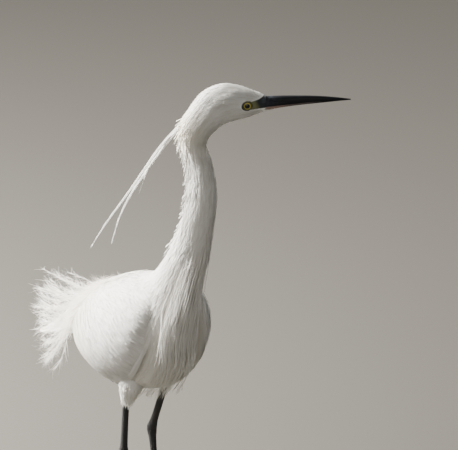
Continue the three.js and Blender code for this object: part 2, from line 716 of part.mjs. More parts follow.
// The feathered thigh, which ends in a ring of short feathers over the bare shank
function thigh(leg) {
  const core = thighTaper.map((r, i) => ({
    p: mix(leg.thighTop, leg.thighEnd, (i / (thighTaper.length - 1)) * 0.94),
    r,
  }));
  const pieces = [limb(core, 12)];
  const axis = vector(...leg.thighEnd).sub(vector(...leg.thighTop)).normalize();
  const aside = vector(0, 1, 0).cross(axis).normalize();
  for (let i = 0; i < thighFeather.count; i++) {
    const turn = (i / thighFeather.count) * Math.PI * 2;
    const out = aside.clone().applyAxisAngle(axis, turn);
    const start = 0.42 + 0.3 * (i % 2);
    const radius = lerp(13, 5.6, start);
    const onAxis = (share) => vector(...mix(leg.thighTop, leg.thighEnd, share));
    const path = new THREE.CatmullRomCurve3([
      onAxis(start).addScaledVector(out, radius - 1.4),
      onAxis(start + 0.22).addScaledVector(out, radius * 0.78),
      onAxis(Math.min(start + 0.48, 1.02)).addScaledVector(out, thighFeather.end),
    ]);
    pieces.push(plume(path, () => out, thighFeather.width, thighFeather.thick, 3));
  }
  return fused(pieces);
}

// One toe: from the ball of the foot forward along the floor, swelling at its joints
function toe(foot, side, one) {
  const turn = degrees(one.turn * side);
  const joints = Math.round(one.length / 15);
  const points = [];
  const steps = joints * 2;
  for (let k = 0; k <= steps; k++) {
    const share = k / steps;
    const swell = 0.28 * Math.cos(share * joints * Math.PI * 2);
    const radius = toeRadius * lerp(1.05, 0.72, share) + swell;
    const run = share * one.length;
    points.push({
      p: [
        foot[0] + Math.cos(turn) * run,
        foot[1] + Math.sin(turn) * run,
        lerp(3.4, radius * 0.82, Math.min(share * 3, 1)),
      ],
      r: radius,
    });
  }
  return limb(points, 6, 0);
}

// One claw: a curved cone that meets the toe's end and comes down to the floor
function claw(foot, side, one) {
  const turn = degrees(one.turn * side);
  const length = one.name === "hind" ? 12 : 9;
  const points = [];
  const steps = 4;
  for (let k = 0; k <= steps; k++) {
    const share = k / steps;
    const run = one.length + clearance + 0.03 + share * length;
    points.push({
      p: [
        foot[0] + Math.cos(turn) * run,
        foot[1] + Math.sin(turn) * run,
        1.55 + 1.5 * Math.sin(share * Math.PI * 0.85) - 1.2 * share ** 2,
      ],
      r: lerp(1.5, 0.35, share),
      facing: k === 0 ? vector(Math.cos(turn), Math.sin(turn), 0) : undefined,
    });
  }
  return limb(points, 6, 0);
}

for (const [name, leg] of Object.entries(legs)) {
  const { ankle, foot, side } = leg;
  const footTop = away(foot, ankle, footHeight);
  const thighSolid = thigh(leg);
  const shankTop = away(leg.thighEnd, leg.thighTop, 9);
  const shankGap = limb([
    { p: away(leg.thighEnd, leg.thighTop, 9 + clearance), r: shankRadius + 2 * clearance },
    { p: leg.thighEnd, r: shankRadius + 2 * clearance },
    { p: away(leg.thighEnd, ankle, 12), r: shankRadius + 2 * clearance },
  ]);
  const underWing = wingShell(side, 2.6, 0.045, 10);
  addNode(
    "thigh_" + name,
    thighSolid.subtract(fleshWithGap).subtract(underWing).subtract(shankGap),
    paint.plumage,
  );
  const bend = vector(...ankle)
    .sub(vector(...leg.thighEnd))
    .normalize()
    .add(vector(...foot).sub(vector(...ankle)).normalize())
    .normalize();
  const atBend = (distance) => vector(...ankle).addScaledVector(bend, distance).toArray();
  addNode(
    "shank_" + name,
    limb([
      { p: shankTop, r: shankRadius },
      { p: leg.thighEnd, r: shankRadius },
      { p: mix(leg.thighEnd, ankle, 0.5), r: shankRadius },
      { p: away(ankle, leg.thighEnd, 12), r: shankRadius + 0.2 },
      { p: away(ankle, leg.thighEnd, 5), r: shankRadius + 1.3 },
      { p: atBend(-half), r: shankRadius + 1.7, facing: bend },
    ]),
    paint.leg,
  );
  addNode(
    "tarsus_" + name,
    limb([
      { p: atBend(half), r: shankRadius + 1.7, facing: bend },
      { p: away(ankle, foot, 5), r: tarsusRadius + 1.5 },
      { p: away(ankle, foot, 12), r: tarsusRadius + 0.4 },
      { p: mix(ankle, foot, 0.3), r: tarsusRadius - 0.1 },
      { p: mix(ankle, foot, 0.6), r: tarsusRadius - 0.2 },
      { p: away(footTop, ankle, gap), r: tarsusRadius },
    ]),
    paint.leg,
  );
  const hub = limb(
    [
      { p: footTop, r: tarsusRadius },
      { p: away(foot, ankle, 7), r: tarsusRadius + 0.6 },
      { p: away(foot, ankle, 3.4), r: tarsusRadius + 1.4 },
      { p: away(foot, ankle, 0.8), r: tarsusRadius + 0.6 },
    ],
    9,
    0,
  );
  const toePieces = toes.map((one) => toe(foot, side, one));
  addNode("foot_" + name, fused([hub, ...toePieces]), paint.foot);
  for (const one of toes) {
    addNode("claw_" + name + "_" + one.name, claw(foot, side, one), paint.claw);
  }
}

// The origin goes to the floor, under the middle of the bounding box
bird.updateMatrixWorld(true);
const bounds = new THREE.Box3().setFromObject(bird, true);
const middle = bounds.getCenter(vector(0, 0, 0));
for (const node of bird.children) {
  node.geometry.translate(-middle.x, -middle.y, -bounds.min.z);
}

export default bird;
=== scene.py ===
import math
import bpy
import numpy as np
from mathutils import Matrix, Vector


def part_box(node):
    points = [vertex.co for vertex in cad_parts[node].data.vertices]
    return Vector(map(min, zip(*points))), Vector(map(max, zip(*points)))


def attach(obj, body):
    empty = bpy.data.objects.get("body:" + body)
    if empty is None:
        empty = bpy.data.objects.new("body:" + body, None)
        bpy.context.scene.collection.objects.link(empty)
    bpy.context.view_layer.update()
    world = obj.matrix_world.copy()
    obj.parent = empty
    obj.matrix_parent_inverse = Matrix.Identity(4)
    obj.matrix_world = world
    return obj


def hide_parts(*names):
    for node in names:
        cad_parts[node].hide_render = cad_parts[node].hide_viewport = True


# A little egret as a still, life-size model. Sizes are millimetres in the frame it was modelled in: X the way
# the breast faces, Y to its left, Z up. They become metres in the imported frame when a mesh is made.
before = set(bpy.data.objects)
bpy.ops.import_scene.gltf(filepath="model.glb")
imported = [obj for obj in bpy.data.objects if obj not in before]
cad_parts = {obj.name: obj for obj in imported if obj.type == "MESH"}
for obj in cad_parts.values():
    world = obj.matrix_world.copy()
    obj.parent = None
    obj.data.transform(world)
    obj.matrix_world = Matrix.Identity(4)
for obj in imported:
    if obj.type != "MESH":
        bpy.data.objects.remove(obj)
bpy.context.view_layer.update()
rng = np.random.default_rng(11)
print("frame loaded")

# Sections across the spine from rump to bill: x, y, z, pitch, yaw, depth, width
spine = np.array([
    [-128, 0, 184, 20, 0, 17, 16], [-110, 0, 190, 19, 0, 38, 34], [-80, 0, 200, 15, 0, 66, 68],
    [-40, 0, 209, 13, 0, 94, 100], [-2, 0, 215, 15, 0, 115, 112], [28, 0, 228, 31, 0, 117, 105],
    [46, 1, 255, 53, 0, 95, 86], [60, 4, 286, 67, 2, 56, 52], [77, 11, 325, 70, 6, 43, 40],
    [86, 14.5, 357, 79, 14, 36, 33], [90, 17.5, 391, 91, 24, 33, 30], [83.4, 18.4, 421, 102, 36, 28, 25],
    [74.2, 15.8, 440, 96, 48, 29, 26], [73, 17.3, 455, 68, 57, 32, 27], [77.6, 25, 469, 49, 60, 35, 29],
    [83.4, 34.5, 481.6, 31, 60, 40.2, 31], [91.2, 48, 488, 18, 60, 41, 31],
    [99.2, 61.9, 488.3, 9, 60, 34, 27], [104.9, 71.7, 488, 6, 60, 26, 20],
    [110.4, 81.2, 487.2, 0, 60, 16.8, 13],
], float)
spineEnd = len(spine) - 1

# Upright sections through the folded wings: x, z, depth, width, upper edge, lower edge, own thickness
wingFold = np.array([
    [67, 244, 72, 66, 66, 112, 6], [56, 236, 101, 94, 40, 128, 10], [32, 227, 120, 117, 28, 141, 12],
    [-5, 217, 123, 126, 20, 136, 12], [-42, 211, 105, 114, 16, 130, 12], [-78, 203, 80, 84, 13, 124, 10],
    [-112, 193, 51, 48, 12, 114, 5.5], [-142, 185, 32, 30, 11, 106, 3.2], [-166, 177, 19, 15, 10, 98, 2],
], float)
wingEnd = len(wingFold) - 1

legs = {
    "right": {"side": -1, "thighTop": (32, -30, 190), "thighEnd": (9, -27.5, 138),
              "ankle": (1.5, -26, 84.5), "foot": (41, -26, 0)},
    "left": {"side": 1, "thighTop": (14, 31, 192), "thighEnd": (-8, 28, 144),
             "ankle": (-33.5, 28, 93), "foot": (-18, 28, 0)},
}

billRoot = spine[-1, :3]
headForward = np.array([0.5, math.sqrt(0.75), 0])
headLeft = np.array([-math.sqrt(0.75), 0.5, 0])
headUp = np.array([0, 0, 1.0])
eye = {"along": -18.5, "out": 7.6, "up": 0.6, "radius": 5.4}


def headPoint(along, left, up):
    along, left, up = (np.asarray(v, float)[..., None] for v in (along, left, up))
    return billRoot + headForward * along + headLeft * left + headUp * up


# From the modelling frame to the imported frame, by the middle of the right eye, whose box is in metres
low, high = (np.array(c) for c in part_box("eye_right"))
shift = (low + high) * 500 - headPoint(eye["along"], -eye["out"], eye["up"])


def unit(v):
    return v / np.maximum(np.linalg.norm(v, axis=-1, keepdims=True), 1e-9)


def eased(a, b, c, d, f):  # a smooth value between b and c, the share f of the way
    return b + 0.5 * f * (c - a + f * (2 * a - 5 * b + 4 * c - d + f * (3 * (b - c) + d - a)))


def readRows(table, place):  # a smooth reading between the rows of a table
    last = len(table) - 1
    at = np.clip(place, 0, last)
    i = np.minimum(at.astype(int), last - 1)
    f = (at - i)[..., None]
    return eased(*(table[np.clip(i + k, 0, last)] for k in (-1, 0, 1, 2)), f)


def alike(*values):  # as arrays of one shape
    return (np.asarray(v, float) for v in np.broadcast_arrays(*values))


def grid(rows, columns):
    return np.meshgrid(rows, columns, indexing="ij")


def circle(sides):
    return np.arange(sides) * math.tau / sides


def heading(pitch, yaw):
    p, w = np.radians(pitch), np.radians(yaw)
    return np.stack([np.cos(p) * np.cos(w), np.cos(p) * np.sin(w), np.sin(p)], axis=-1)


# Surfaces. place counts sections, turn is an angle in degrees and lift stands off the plumage's outside.
def fleshPoint(place, turn, lift=0.0):  # turn 0 on the back, 180 on the belly, positive on the left
    place, turn, lift = alike(place, turn, lift)
    s = readRows(spine, place)
    forward, up = heading(s[..., 3], s[..., 4]), heading(s[..., 3] + 90, s[..., 4])
    left = np.cross(up, forward)
    beyond = np.maximum(-place, 0)[..., None]
    shrink = np.exp(-1.2 * beyond)
    a = np.radians(turn)[..., None]
    deep = s[..., 5:6] / 2 * shrink + lift[..., None]
    wide = s[..., 6:7] / 2 * shrink + lift[..., None]
    return s[..., :3] - forward * beyond * 18 + up * np.cos(a) * deep + left * np.sin(a) * wide


def wingTop(place, turn, lift=0.0):  # turn 0 straight up, positive over the left wing
    place, turn, lift = alike(place, turn, lift)
    s = readRows(wingFold, place)
    beyond = np.maximum(place - wingEnd, 0)
    a = np.radians(turn)
    return np.stack([
        s[..., 0] - beyond * 24,
        np.sin(a) * np.maximum(s[..., 3] / 2 + lift, 0.4),
        s[..., 1] + np.cos(a) * np.maximum(s[..., 2] / 2 + lift, 0.4) - beyond * 8,
    ], axis=-1)


thighTaper = np.array([[5], [8], [12], [11.8], [9.6], [6.9], [4.6]], float)


def thighSurface(leg):  # place runs from 0 at the hip to 6 at the bare shank
    top, end = np.array(leg["thighTop"], float), np.array(leg["thighEnd"], float)
    axis = unit(end - top)
    front = unit(np.cross((0, 1, 0), axis))
    out = np.cross(axis, front)

    def point(place, turn, lift=0.0):
        place, turn, lift = alike(place, turn, lift)
        r = readRows(thighTaper, place) + lift[..., None]
        a = np.radians(turn)[..., None]
        return top + (end - top) * (place[..., None] / 6 * 0.94) + (front * np.cos(a) + out * np.sin(a)) * r
    return point


# Where a root falls on the unwrap: round the body and along it, the thighs above, the wings on their own map
unwrap = {"edge": 0.02, "turns": 0.96, "spine": 0.62, "thighs": {-1: 0.68, 1: 0.84},
          "wingTurns": 0.46, "wing": 0.94}


def fleshSpot(place, turn):
    around = unwrap["edge"] + unwrap["turns"] * (np.asarray(turn) % 360) / 360
    along = unwrap["edge"] + unwrap["spine"] * np.clip(place, 0, spineEnd) / spineEnd
    return np.stack([around, along], -1)


def wingSpot(place, turn):
    around = 0.5 + unwrap["wingTurns"] * np.clip(turn, -180, 180) / 180
    along = unwrap["edge"] + unwrap["wing"] * np.clip(place, 0, wingEnd + 1) / (wingEnd + 1)
    return np.stack([around, along], -1)


def thighSpot(side):
    base, edge = unwrap["thighs"][side], unwrap["edge"]
    return lambda place, turn: np.stack(
        [fleshSpot(place, turn)[..., 0], base + edge * np.clip(place, 0, 6)], -1)


class Number:  # one varying number in a finish
    def __init__(self, finish, socket):
        self.finish, self.socket = finish, socket

    def math(self, operation, *values):
        return self.finish.add("ShaderNodeMath", {"operation": operation}, values)

    def __add__(self, other):
        return self.math("ADD", self, other)

    def __radd__(self, other):
        return self.math("ADD", other, self)

    def __sub__(self, other):
        return self.math("SUBTRACT", self, other)

    def __rsub__(self, other):
        return self.math("SUBTRACT", other, self)

    def __mul__(self, other):
        return self.math("MULTIPLY", self, other)

    def __rmul__(self, other):
        return self.math("MULTIPLY", other, self)

    def __pow__(self, other):
        return self.math("POWER", self, other)

    def sine(self):
        return self.math("SINE", self)

    def size(self):
        return self.math("ABSOLUTE", self)

    def root(self):
        return self.math("SQRT", self)

    def least(self, other):
        return self.math("MINIMUM", self, other)

    def step(self, start, end):  # 0 before start, 1 after end, smooth between
        return self.finish.add("ShaderNodeMapRange", {"interpolation_type": "SMOOTHSTEP"},
                               {"Value": self, "From Min": start, "From Max": end})


class Finish:  # a material, built from Python expressions
    def __init__(self, name, uniform):
        self.material = bpy.data.materials.new(name)
        self.material.use_nodes = True
        self.tree = self.material.node_tree
        self.shader = self.tree.nodes["Principled BSDF"]
        self.output = self.tree.nodes["Material Output"]
        self.paint(uniform)

    def put(self, socket, value):
        if isinstance(value, Number):
            self.tree.links.new(value.socket, socket)
        else:
            socket.default_value = value

    def add(self, kind, settings=None, values=None, out=0):
        node = self.tree.nodes.new(kind)
        for key, value in (settings or {}).items():
            setattr(node, key, value)
        for key, value in (values.items() if isinstance(values, dict) else enumerate(values or ())):
            self.put(node.inputs[key], value)
        return Number(self, node.outputs[out])

    def paint(self, values):  # sets or links sockets of the surface itself
        for key, value in values.items():
            self.put(self.shader.inputs[key], value)

    def place(self):
        return self.add("ShaderNodeTexCoord", out="Object")

    def mark(self, name):
        return self.add("ShaderNodeAttribute", {"attribute_name": name}, out="Fac")

    def map(self, name):
        return self.split(self.add("ShaderNodeUVMap", {"uv_map": name}))

    def split(self, vector):
        node = self.add("ShaderNodeSeparateXYZ", None, [vector]).socket.node
        return [Number(self, socket) for socket in node.outputs]

    def noise(self, vector, scale):
        values = {"Vector": vector, "Scale": scale, "Detail": 3.0, "Roughness": 0.55}
        return self.add("ShaderNodeTexNoise", None, values)

    def cells(self, vector, scale):
        values = {"Vector": vector, "Scale": scale}
        return self.add("ShaderNodeTexVoronoi", {"feature": "DISTANCE_TO_EDGE"}, values)

    def mix(self, factor, first, second):
        return self.add("ShaderNodeMix", {"data_type": "RGBA"}, {0: factor, 6: first, 7: second}, out=2)

    def stretch(self, vector, scale):
        return self.add("ShaderNodeMapping", None, {"Vector": vector, "Scale": scale})

    def bump(self, height, strength, depth):
        values = {"Strength": strength, "Distance": depth, "Height": height}
        self.paint({"Normal": self.add("ShaderNodeBump", None, values)})

    def thin(self, share, colour):  # lets light from behind through
        glow = self.add("ShaderNodeBsdfTranslucent", None, {"Color": colour})
        values = {0: share, 1: Number(self, self.shader.outputs[0]), 2: glow}
        self.put(self.output.inputs["Surface"], self.add("ShaderNodeMixShader", None, values))


plumageLook = {
    "white": (0.90, 0.893, 0.868, 1), "shade": (0.65, 0.635, 0.59, 1),
    # The dark brown is painted shadow for the crease in front of each wing's lower edge
    "warmTintAndShade": (0.80, 0.69, 0.47, 1), "creaseShadow": (0.13, 0.115, 0.085, 1),
    "specular": 0.3, "sheen": 0.12, "sheenRoughness": 0.4, "roughness": 0.72,
    "barbsPerMm": 0.72, "barbSlant": 1.5, "barbDepth": 0.00022, "cloudScale": 45.0,
    "toneShare": 0.6, "cloudShare": 0.2, "barbShare": 0.2, "shaftShare": 0.15, "edgeShadeShare": 1.1,
}


def plumageFinish(name, lightThrough, shadeShare=1.0, rim=0.0):  # with a rim, vanes darken that many mm out, as painted shade along the edges of overlapping vanes
    look = plumageLook
    f = Finish(name, {"Specular IOR Level": look["specular"], "Sheen Weight": look["sheen"],
                      "Sheen Roughness": look["sheenRoughness"]})
    across, along, _ = f.map("vane")
    away, tone, warmTintAndShade = across.size(), f.mark("tone"), f.mark("warmTintAndShade")
    wave = (along + away * look["barbSlant"]) * (look["barbsPerMm"] * 2 * math.pi) + tone * 6
    barbs = wave.sine() * 0.5 + 0.5
    cloud = f.noise(f.place(), look["cloudScale"])
    shaft = 1 - away.step(0.12, 0.5)
    dim = tone.step(0.35, 0.95) * look["toneShare"] + cloud.step(0.35, 0.75) * look["cloudShare"]
    dim = (dim + barbs * look["barbShare"] + shaft * look["shaftShare"]) * shadeShare
    # painted shade along vane edges, where overlapping feathers meet
    if rim:
        dim = dim + away.step(rim * 0.6, rim) * look["edgeShadeShare"]
    colour = f.mix(dim.least(1.0), look["white"], look["shade"])
    # painted shadow: the coat in the crease in front of the wings' lower edges turns dark brown
    colour = f.mix(f.mark("creaseShadow"), colour, look["creaseShadow"])
    # the warm tan is partly the plumage's own cream and partly painted shade on the breast under its plumes
    colour = f.mix(warmTintAndShade * (0.6 + tone * 0.4), colour, look["warmTintAndShade"])
    f.paint({"Base Color": colour, "Roughness": look["roughness"] + barbs * 0.12})
    f.bump(barbs + shaft * 0.7 + cloud * 0.4, 0.5, look["barbDepth"])
    f.thin(lightThrough, look["white"])
    return f


coatFinish = plumageFinish("coat feathers", 0.28)
plumeFinish = plumageFinish("loose plumes", 0.4, 0.6)
# The tail is darker than the coat: partly stronger random tone and partly painted shade for the
# self-shadowing its flat vanes lack; its vane edges carry painted shade
tailFinish = plumageFinish("tail feathers", 0.15, 1.5, 4.4)


class Shape:  # points and faces gathered before they become one mesh
    def __init__(self):
        self.points, self.blocks, self.maps, self.marks, self.total = [], [], {}, {}, 0

    # A map is given by point, or by corner for each block of faces
    def add(self, points, blocks, maps, marks):
        points = points.reshape(-1, 3)
        for b, block in enumerate(blocks):
            self.blocks.append(block + self.total)
            for key, value in maps.items():
                corner = value[b] if isinstance(value, list) else value.reshape(-1, 2)[block]
                self.maps.setdefault(key, []).append(corner.reshape(-1, 2))
        for key, value in marks.items():
            self.marks.setdefault(key, []).append(np.broadcast_to(value, len(points)))
        self.points.append(points)
        self.total += len(points)

    def piece(self, name, finish, slot, *replaced):
        mesh = bpy.data.meshes.new(name)
        points = (np.concatenate(self.points) + shift) / 1000
        corners = np.concatenate([b.ravel() for b in self.blocks])
        sizes = np.concatenate([np.full(len(b), b.shape[1]) for b in self.blocks])
        mesh.vertices.add(len(points))
        mesh.vertices.foreach_set("co", points.ravel())
        mesh.loops.add(len(corners))
        mesh.loops.foreach_set("vertex_index", corners.astype(np.int32))
        mesh.polygons.add(len(sizes))
        mesh.polygons.foreach_set("loop_start", (np.cumsum(sizes) - sizes).astype(np.int32))
        mesh.polygons.foreach_set("use_smooth", np.ones(len(sizes), bool))
        mesh.update(calc_edges=True)
        for key, parts in self.maps.items():
            mesh.uv_layers.new(name=key).data.foreach_set("uv", np.concatenate(parts).ravel())
        for key, parts in self.marks.items():
            mark = mesh.attributes.new(key, "FLOAT", "POINT")
            mark.data.foreach_set("value", np.concatenate(parts).astype(float))
        mesh.materials.append(finish.material)
        made = bpy.data.objects.new(name, mesh)
        bpy.context.scene.collection.objects.link(made)
        return settle(made, slot, *replaced)


def settle(made, slot, *replaced):
    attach(made, "root")
    if replaced:
        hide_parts(*replaced)
    print("made", made.name, len(made.data.polygons), "faces")
    return made


def loft(rings, spot=None):  # a closed skin through rings of points, with its map by corner
    r, s = rings.shape[:2]
    points = np.concatenate([rings.reshape(-1, 3), rings[0].mean(0)[None], rings[-1].mean(0)[None]])
    i, j = (v.ravel() for v in np.mgrid[0:r - 1, 0:s])
    k = (j + 1) % s
    quads = np.stack([i * s + j, i * s + k, (i + 1) * s + k, (i + 1) * s + j], -1)
    ends = np.arange(s)
    nexts = (ends + 1) % s
    starts = np.stack([np.full(s, r * s), nexts, ends], -1)
    stops = np.stack([np.full(s, r * s + 1), (r - 1) * s + ends, (r - 1) * s + nexts], -1)
    where = spot or (lambda row, side: np.stack([0.02 + 0.96 * side, 0.02 + 0.96 * row], -1))
    row, side = i / (r - 1), j / s
    quadMap = np.stack([where(row, side), where(row, side + 1 / s),
                        where(row + 1 / (r - 1), side + 1 / s), where(row + 1 / (r - 1), side)], 1)
    here, middle, after = ends / s, (ends + 0.5) / s, (ends + 1) / s
    startMap = np.stack([where(0 * ends, middle), where(0 * ends, after), where(0 * ends, here)], 1)
    stopMap = np.stack(
        [where(0 * ends + 1, middle), where(0 * ends + 1, here), where(0 * ends + 1, after)], 1)
    blocks, maps = [quads, starts, stops], [quadMap, startMap, stopMap]
    volume = 0
    for block in blocks:
        corner = points[block] - points[0]
        for c in range(1, block.shape[1] - 1):
            volume += np.einsum("ij,ij->", corner[:, 0], np.cross(corner[:, c], corner[:, c + 1]))
    if volume < 0:
        blocks, maps = [b[:, ::-1] for b in blocks], [m[:, ::-1] for m in maps]
    return points, blocks, maps


def creaseShadowAt(points):  # how strongly a point is painted with the shadow of the crease in front of a wing's lower edge, from 0 to 1
    x, y, z = points.reshape(-1, 3).T
    depth = np.zeros(len(x))
    near = np.flatnonzero((x > 18) & (x < 76) & (np.abs(y) > 18) & (z > 166) & (z < 240))
    place = np.linspace(0.1, 2.1, 20)
    edge = wingTop(place, readRows(wingFold, place)[:, 5] + 3.5, 0.5)
    away = np.linalg.norm(np.stack([x, np.abs(y), z], 1)[near, None] - edge[None], axis=-1)
    depth[near] = (np.exp(-(away / 2.3) ** 2) * (0.8 - 0.25 * np.abs(place - 0.9) ** 2)).max(1)
    return np.clip(depth, 0, 1)


# Many small open sheets, (n, rows, columns, 3), each with its unwrap at its own root's spot
def sheets(shape, points, outward, spots, vane, tone=None, warmTintAndShade=0.0, paintCreaseShadow=False):
    n, r, c = points.shape[:3]
    i, j = (v.ravel() for v in np.mgrid[0:r - 1, 0:c - 1])
    quad = np.stack([i * c + j, i * c + j + 1, (i + 1) * c + j + 1, (i + 1) * c + j], -1)
    m, k = (r - 1) // 2, (c - 1) // 2
    facing = np.cross(points[:, m, k + 1] - points[:, m, k], points[:, m + 1, k] - points[:, m, k])
    inward = np.einsum("ij,ij->i", facing, outward) < 0
    faces = np.where(inward[:, None, None], quad[None, :, ::-1], quad[None])
    faces = faces + np.arange(n)[:, None, None] * r * c
    patch = np.stack(np.meshgrid(np.linspace(-1, 1, c), np.linspace(-1, 1, r)), -1) * 0.0015
    tone = rng.uniform(0, 1, n) if tone is None else tone
    marks = {"tone": np.repeat(tone, r * c), "warmTintAndShade": np.repeat(np.broadcast_to(warmTintAndShade, n), r * c)}
    # painted shadow of the crease in front of the wings' lower edges
    if paintCreaseShadow:
        marks["creaseShadow"] = creaseShadowAt(points)
    maps = {"OFBake": spots[:, None, None] + patch, "vane": vane}
    shape.add(points, [faces.reshape(-1, 4)], maps, marks)


# How wide a feather is along its length, s, which runs from 0 to 1
def leaf(s):
    return np.maximum(np.sin(np.pi * (0.15 + 0.85 * s) ** 0.7), 0.05)


def lance(s):
    return np.maximum(np.sin(np.pi * (0.2 + 0.8 * s) ** 0.55), 0.05)


def roundVane(s):
    end = np.clip((s - 0.7) / 0.3, 0, 1)
    return (0.75 + 0.25 * np.minimum(s / 0.6, 1)) * np.sqrt(np.maximum(1 - end ** 2, 0.02))


def blade(s):
    return (1 - 0.5 * s) * (1 - s ** 6)


def thread(s):
    return 1 - 0.85 * s


# Staggered rows of roots over a surface
def scatter(surface, first, last, along, across, low=0.0, high=360.0):
    places, turns, place, row = [], [], first, 0
    while place < last:
        around = np.linspace(low, high, 41)
        ring, following = surface(place, around), surface(place + 0.05, around)
        pace = np.linalg.norm(following - ring, axis=1).mean() / 0.05
        count = max(int(np.linalg.norm(np.diff(ring, axis=0), axis=1).sum() / across), 4)
        share = (np.arange(count) + 0.25 + 0.5 * (row % 2) + rng.uniform(-0.4, 0.4, count)) / count
        turns.append(low + (high - low) * np.clip(share, 0, 1))
        places.append(place + rng.uniform(-0.5, 0.5, count) * along / pace)
        place += along / pace
        row += 1
    return np.concatenate(places), np.concatenate(turns)


# Feathers that follow a surface from their roots. veer turns them off its own lie, in degrees.
def hug(shape, surface, spot, place, turn, length, width, base, tip, rows=4, columns=2, backward=-1, veer=0.0,
        crown=0.0, taper=leaf, fray=0.0, warmTintAndShade=0.0, vary=0.15, tone=None, paintCreaseShadow=False):
    n = len(place)
    step, small = 0.02, 0.5
    pace = np.linalg.norm(surface(place + step, turn) - surface(place - step, turn), axis=-1) / (2 * step)
    arc = np.linalg.norm(surface(place, turn + small) - surface(place, turn - small), axis=-1) / (2 * small)
    pace, arc = np.maximum(pace, 4), np.maximum(arc, 0.05)  # no feather runs off where a surface closes
    sizes = (length * (1 + rng.uniform(-vary, vary, n)), width, base, tip, veer)
    length, width, base, tip, veer = (np.broadcast_to(v, n)[:, None, None] for v in sizes)
    s = np.linspace(0, 1, rows + 1)[None, :, None]
    t = np.linspace(-1, 1, columns + 1)[None, None, :]
    half = width / 2 * taper(s) * t
    run = length * (s + fray * rng.uniform(-1, 1, (n, 1, columns + 1)) * s ** 2)
    angle = np.radians(veer)
    ahead = np.cos(angle) * run - np.sin(angle) * half
    aside = np.sin(angle) * run + np.cos(angle) * half
    lift = base + (tip - base) * s ** 1.4 + crown * (1 - t ** 2) * taper(s)
    along = place[:, None, None] + backward * ahead / pace[:, None, None]
    points = surface(along, turn[:, None, None] + aside / arc[:, None, None], lift)
    outward = surface(place, turn, 1.0) - surface(place, turn, 0.0)
    vane = np.stack(np.broadcast_arrays(half, run), -1)
    sheets(shape, points, outward, spot(place, turn), vane, tone, warmTintAndShade, paintCreaseShadow)


def locks(place, turn, long, wide):  # a random number shared by the feathers of each lock
    table = rng.uniform(0, 1, (64, 64))
    row = (place / long + 0.5 * (np.floor(turn / wide) % 2)).astype(int) % 64
    return 0.7 * table[row, (turn / wide).astype(int) % 64] + 0.3 * rng.uniform(0, 1, len(place))


def smoothPaths(control, samples):  # a curve through each row of control points, (n, k, 3)
    last = control.shape[1] - 1
    at = np.linspace(0, last, samples + 1)
    i = np.minimum(at.astype(int), last - 1)
    f = (at - i)[None, :, None]
    return eased(*(control[:, np.clip(i + k, 0, last)] for k in (-1, 0, 1, 2)), f)


def ribbons(shape, paths, facing, width, spots, taper=thread, crown=0.15, tone=None, warmTintAndShade=0.0, grain=1.0):
    n, k = paths.shape[:2]
    along = unit(np.gradient(paths, axis=1))
    side = unit(np.cross(along, facing))
    face = np.cross(side, along)
    s = np.linspace(0, 1, k)[None, :, None]
    half = np.broadcast_to(width, n)[:, None, None] / 2 * taper(s)
    points = np.stack([paths - side * half, paths + face * half * crown * 2, paths + side * half], 2)
    length = np.cumsum(np.linalg.norm(np.gradient(paths, axis=1), axis=-1), axis=1)[:, :, None] * grain
    vane = np.stack(np.broadcast_arrays(half * np.array([-1, 0, 1]), length), -1)
    sheets(shape, points, face[:, k // 2], spots, vane, tone, warmTintAndShade)


def strands(shape, roots, ahead, curl, length, width, spots, tone=None, warmTintAndShade=0.0):  # loose single barbs
    n, rows = len(roots), 3
    s = np.linspace(0, 1, rows + 1)[None, :, None]
    run = ahead[:, None] * np.broadcast_to(length, n)[:, None, None] * s
    paths = roots[:, None] + run + curl[:, None] * s ** 2
    side = unit(np.cross(ahead, rng.normal(size=(n, 3))))[:, None]
    half = side * np.broadcast_to(width, n)[:, None, None] / 2 * thread(s)
    points = np.stack([paths - half, paths + half], 2)
    vane = np.zeros((n, rows + 1, 2, 2))
    vane[..., 1] = s * 10
    sheets(shape, points, np.cross(side[:, 0], ahead), spots, vane, tone, warmTintAndShade)


# Camera, floor and light
viewAcross = np.array([0.5, math.sqrt(0.75), 0])
tilt = math.radians(20)
viewUp = np.array([-math.sqrt(0.75) * math.sin(tilt), 0.5 * math.sin(tilt), math.cos(tilt)])
viewBack = np.array([math.sqrt(0.75) * math.cos(tilt), -0.5 * math.cos(tilt), math.sin(tilt)])
framing = {"across": 88.1, "up": 312.9, "near": 120, "distance": 22.0, "width": 0.475}
lamps = {
    "key": {"toward": (-0.60, -0.56, 0.56), "reach": 1.6, "size": 0.36, "power": 300,
            "colour": (1, 0.965, 0.91)},
    "fill": {"toward": (0.66, -0.66, 0.36), "reach": 3.0, "size": 2.4, "power": 26,
             "colour": (1, 0.965, 0.89)},
    "back": {"toward": (-0.30, 0.80, 0.60), "reach": 2.6, "size": 1.4, "power": 30,
             "colour": (1, 0.98, 0.95)},
}
backdrop = {"floor": (0.076, 0.072, 0.064, 1), "far": (0.066, 0.063, 0.057, 1), "halfWidth": 30,
            "air": (0.67, 0.68, 0.68, 1), "airLight": 0.28, "aim": (0, 0, 0.27)}


def turned(right, up, back, seat):
    return Matrix([[right[k], up[k], back[k], seat[k]] for k in range(3)] + [[0, 0, 0, 1]])


def addCamera():
    aim = viewAcross * framing["across"] + viewUp * framing["up"] + viewBack * framing["near"]
    seat = (aim + shift) / 1000 + viewBack * framing["distance"]
    lens = bpy.data.cameras.new("camera")
    lens.lens = lens.sensor_width * framing["distance"] / framing["width"]
    lens.clip_end = 200
    camera = bpy.data.objects.new("camera", lens)
    camera.matrix_world = turned(viewAcross, viewUp, viewBack, seat)
    bpy.context.scene.collection.objects.link(camera)
    bpy.context.scene.camera = camera


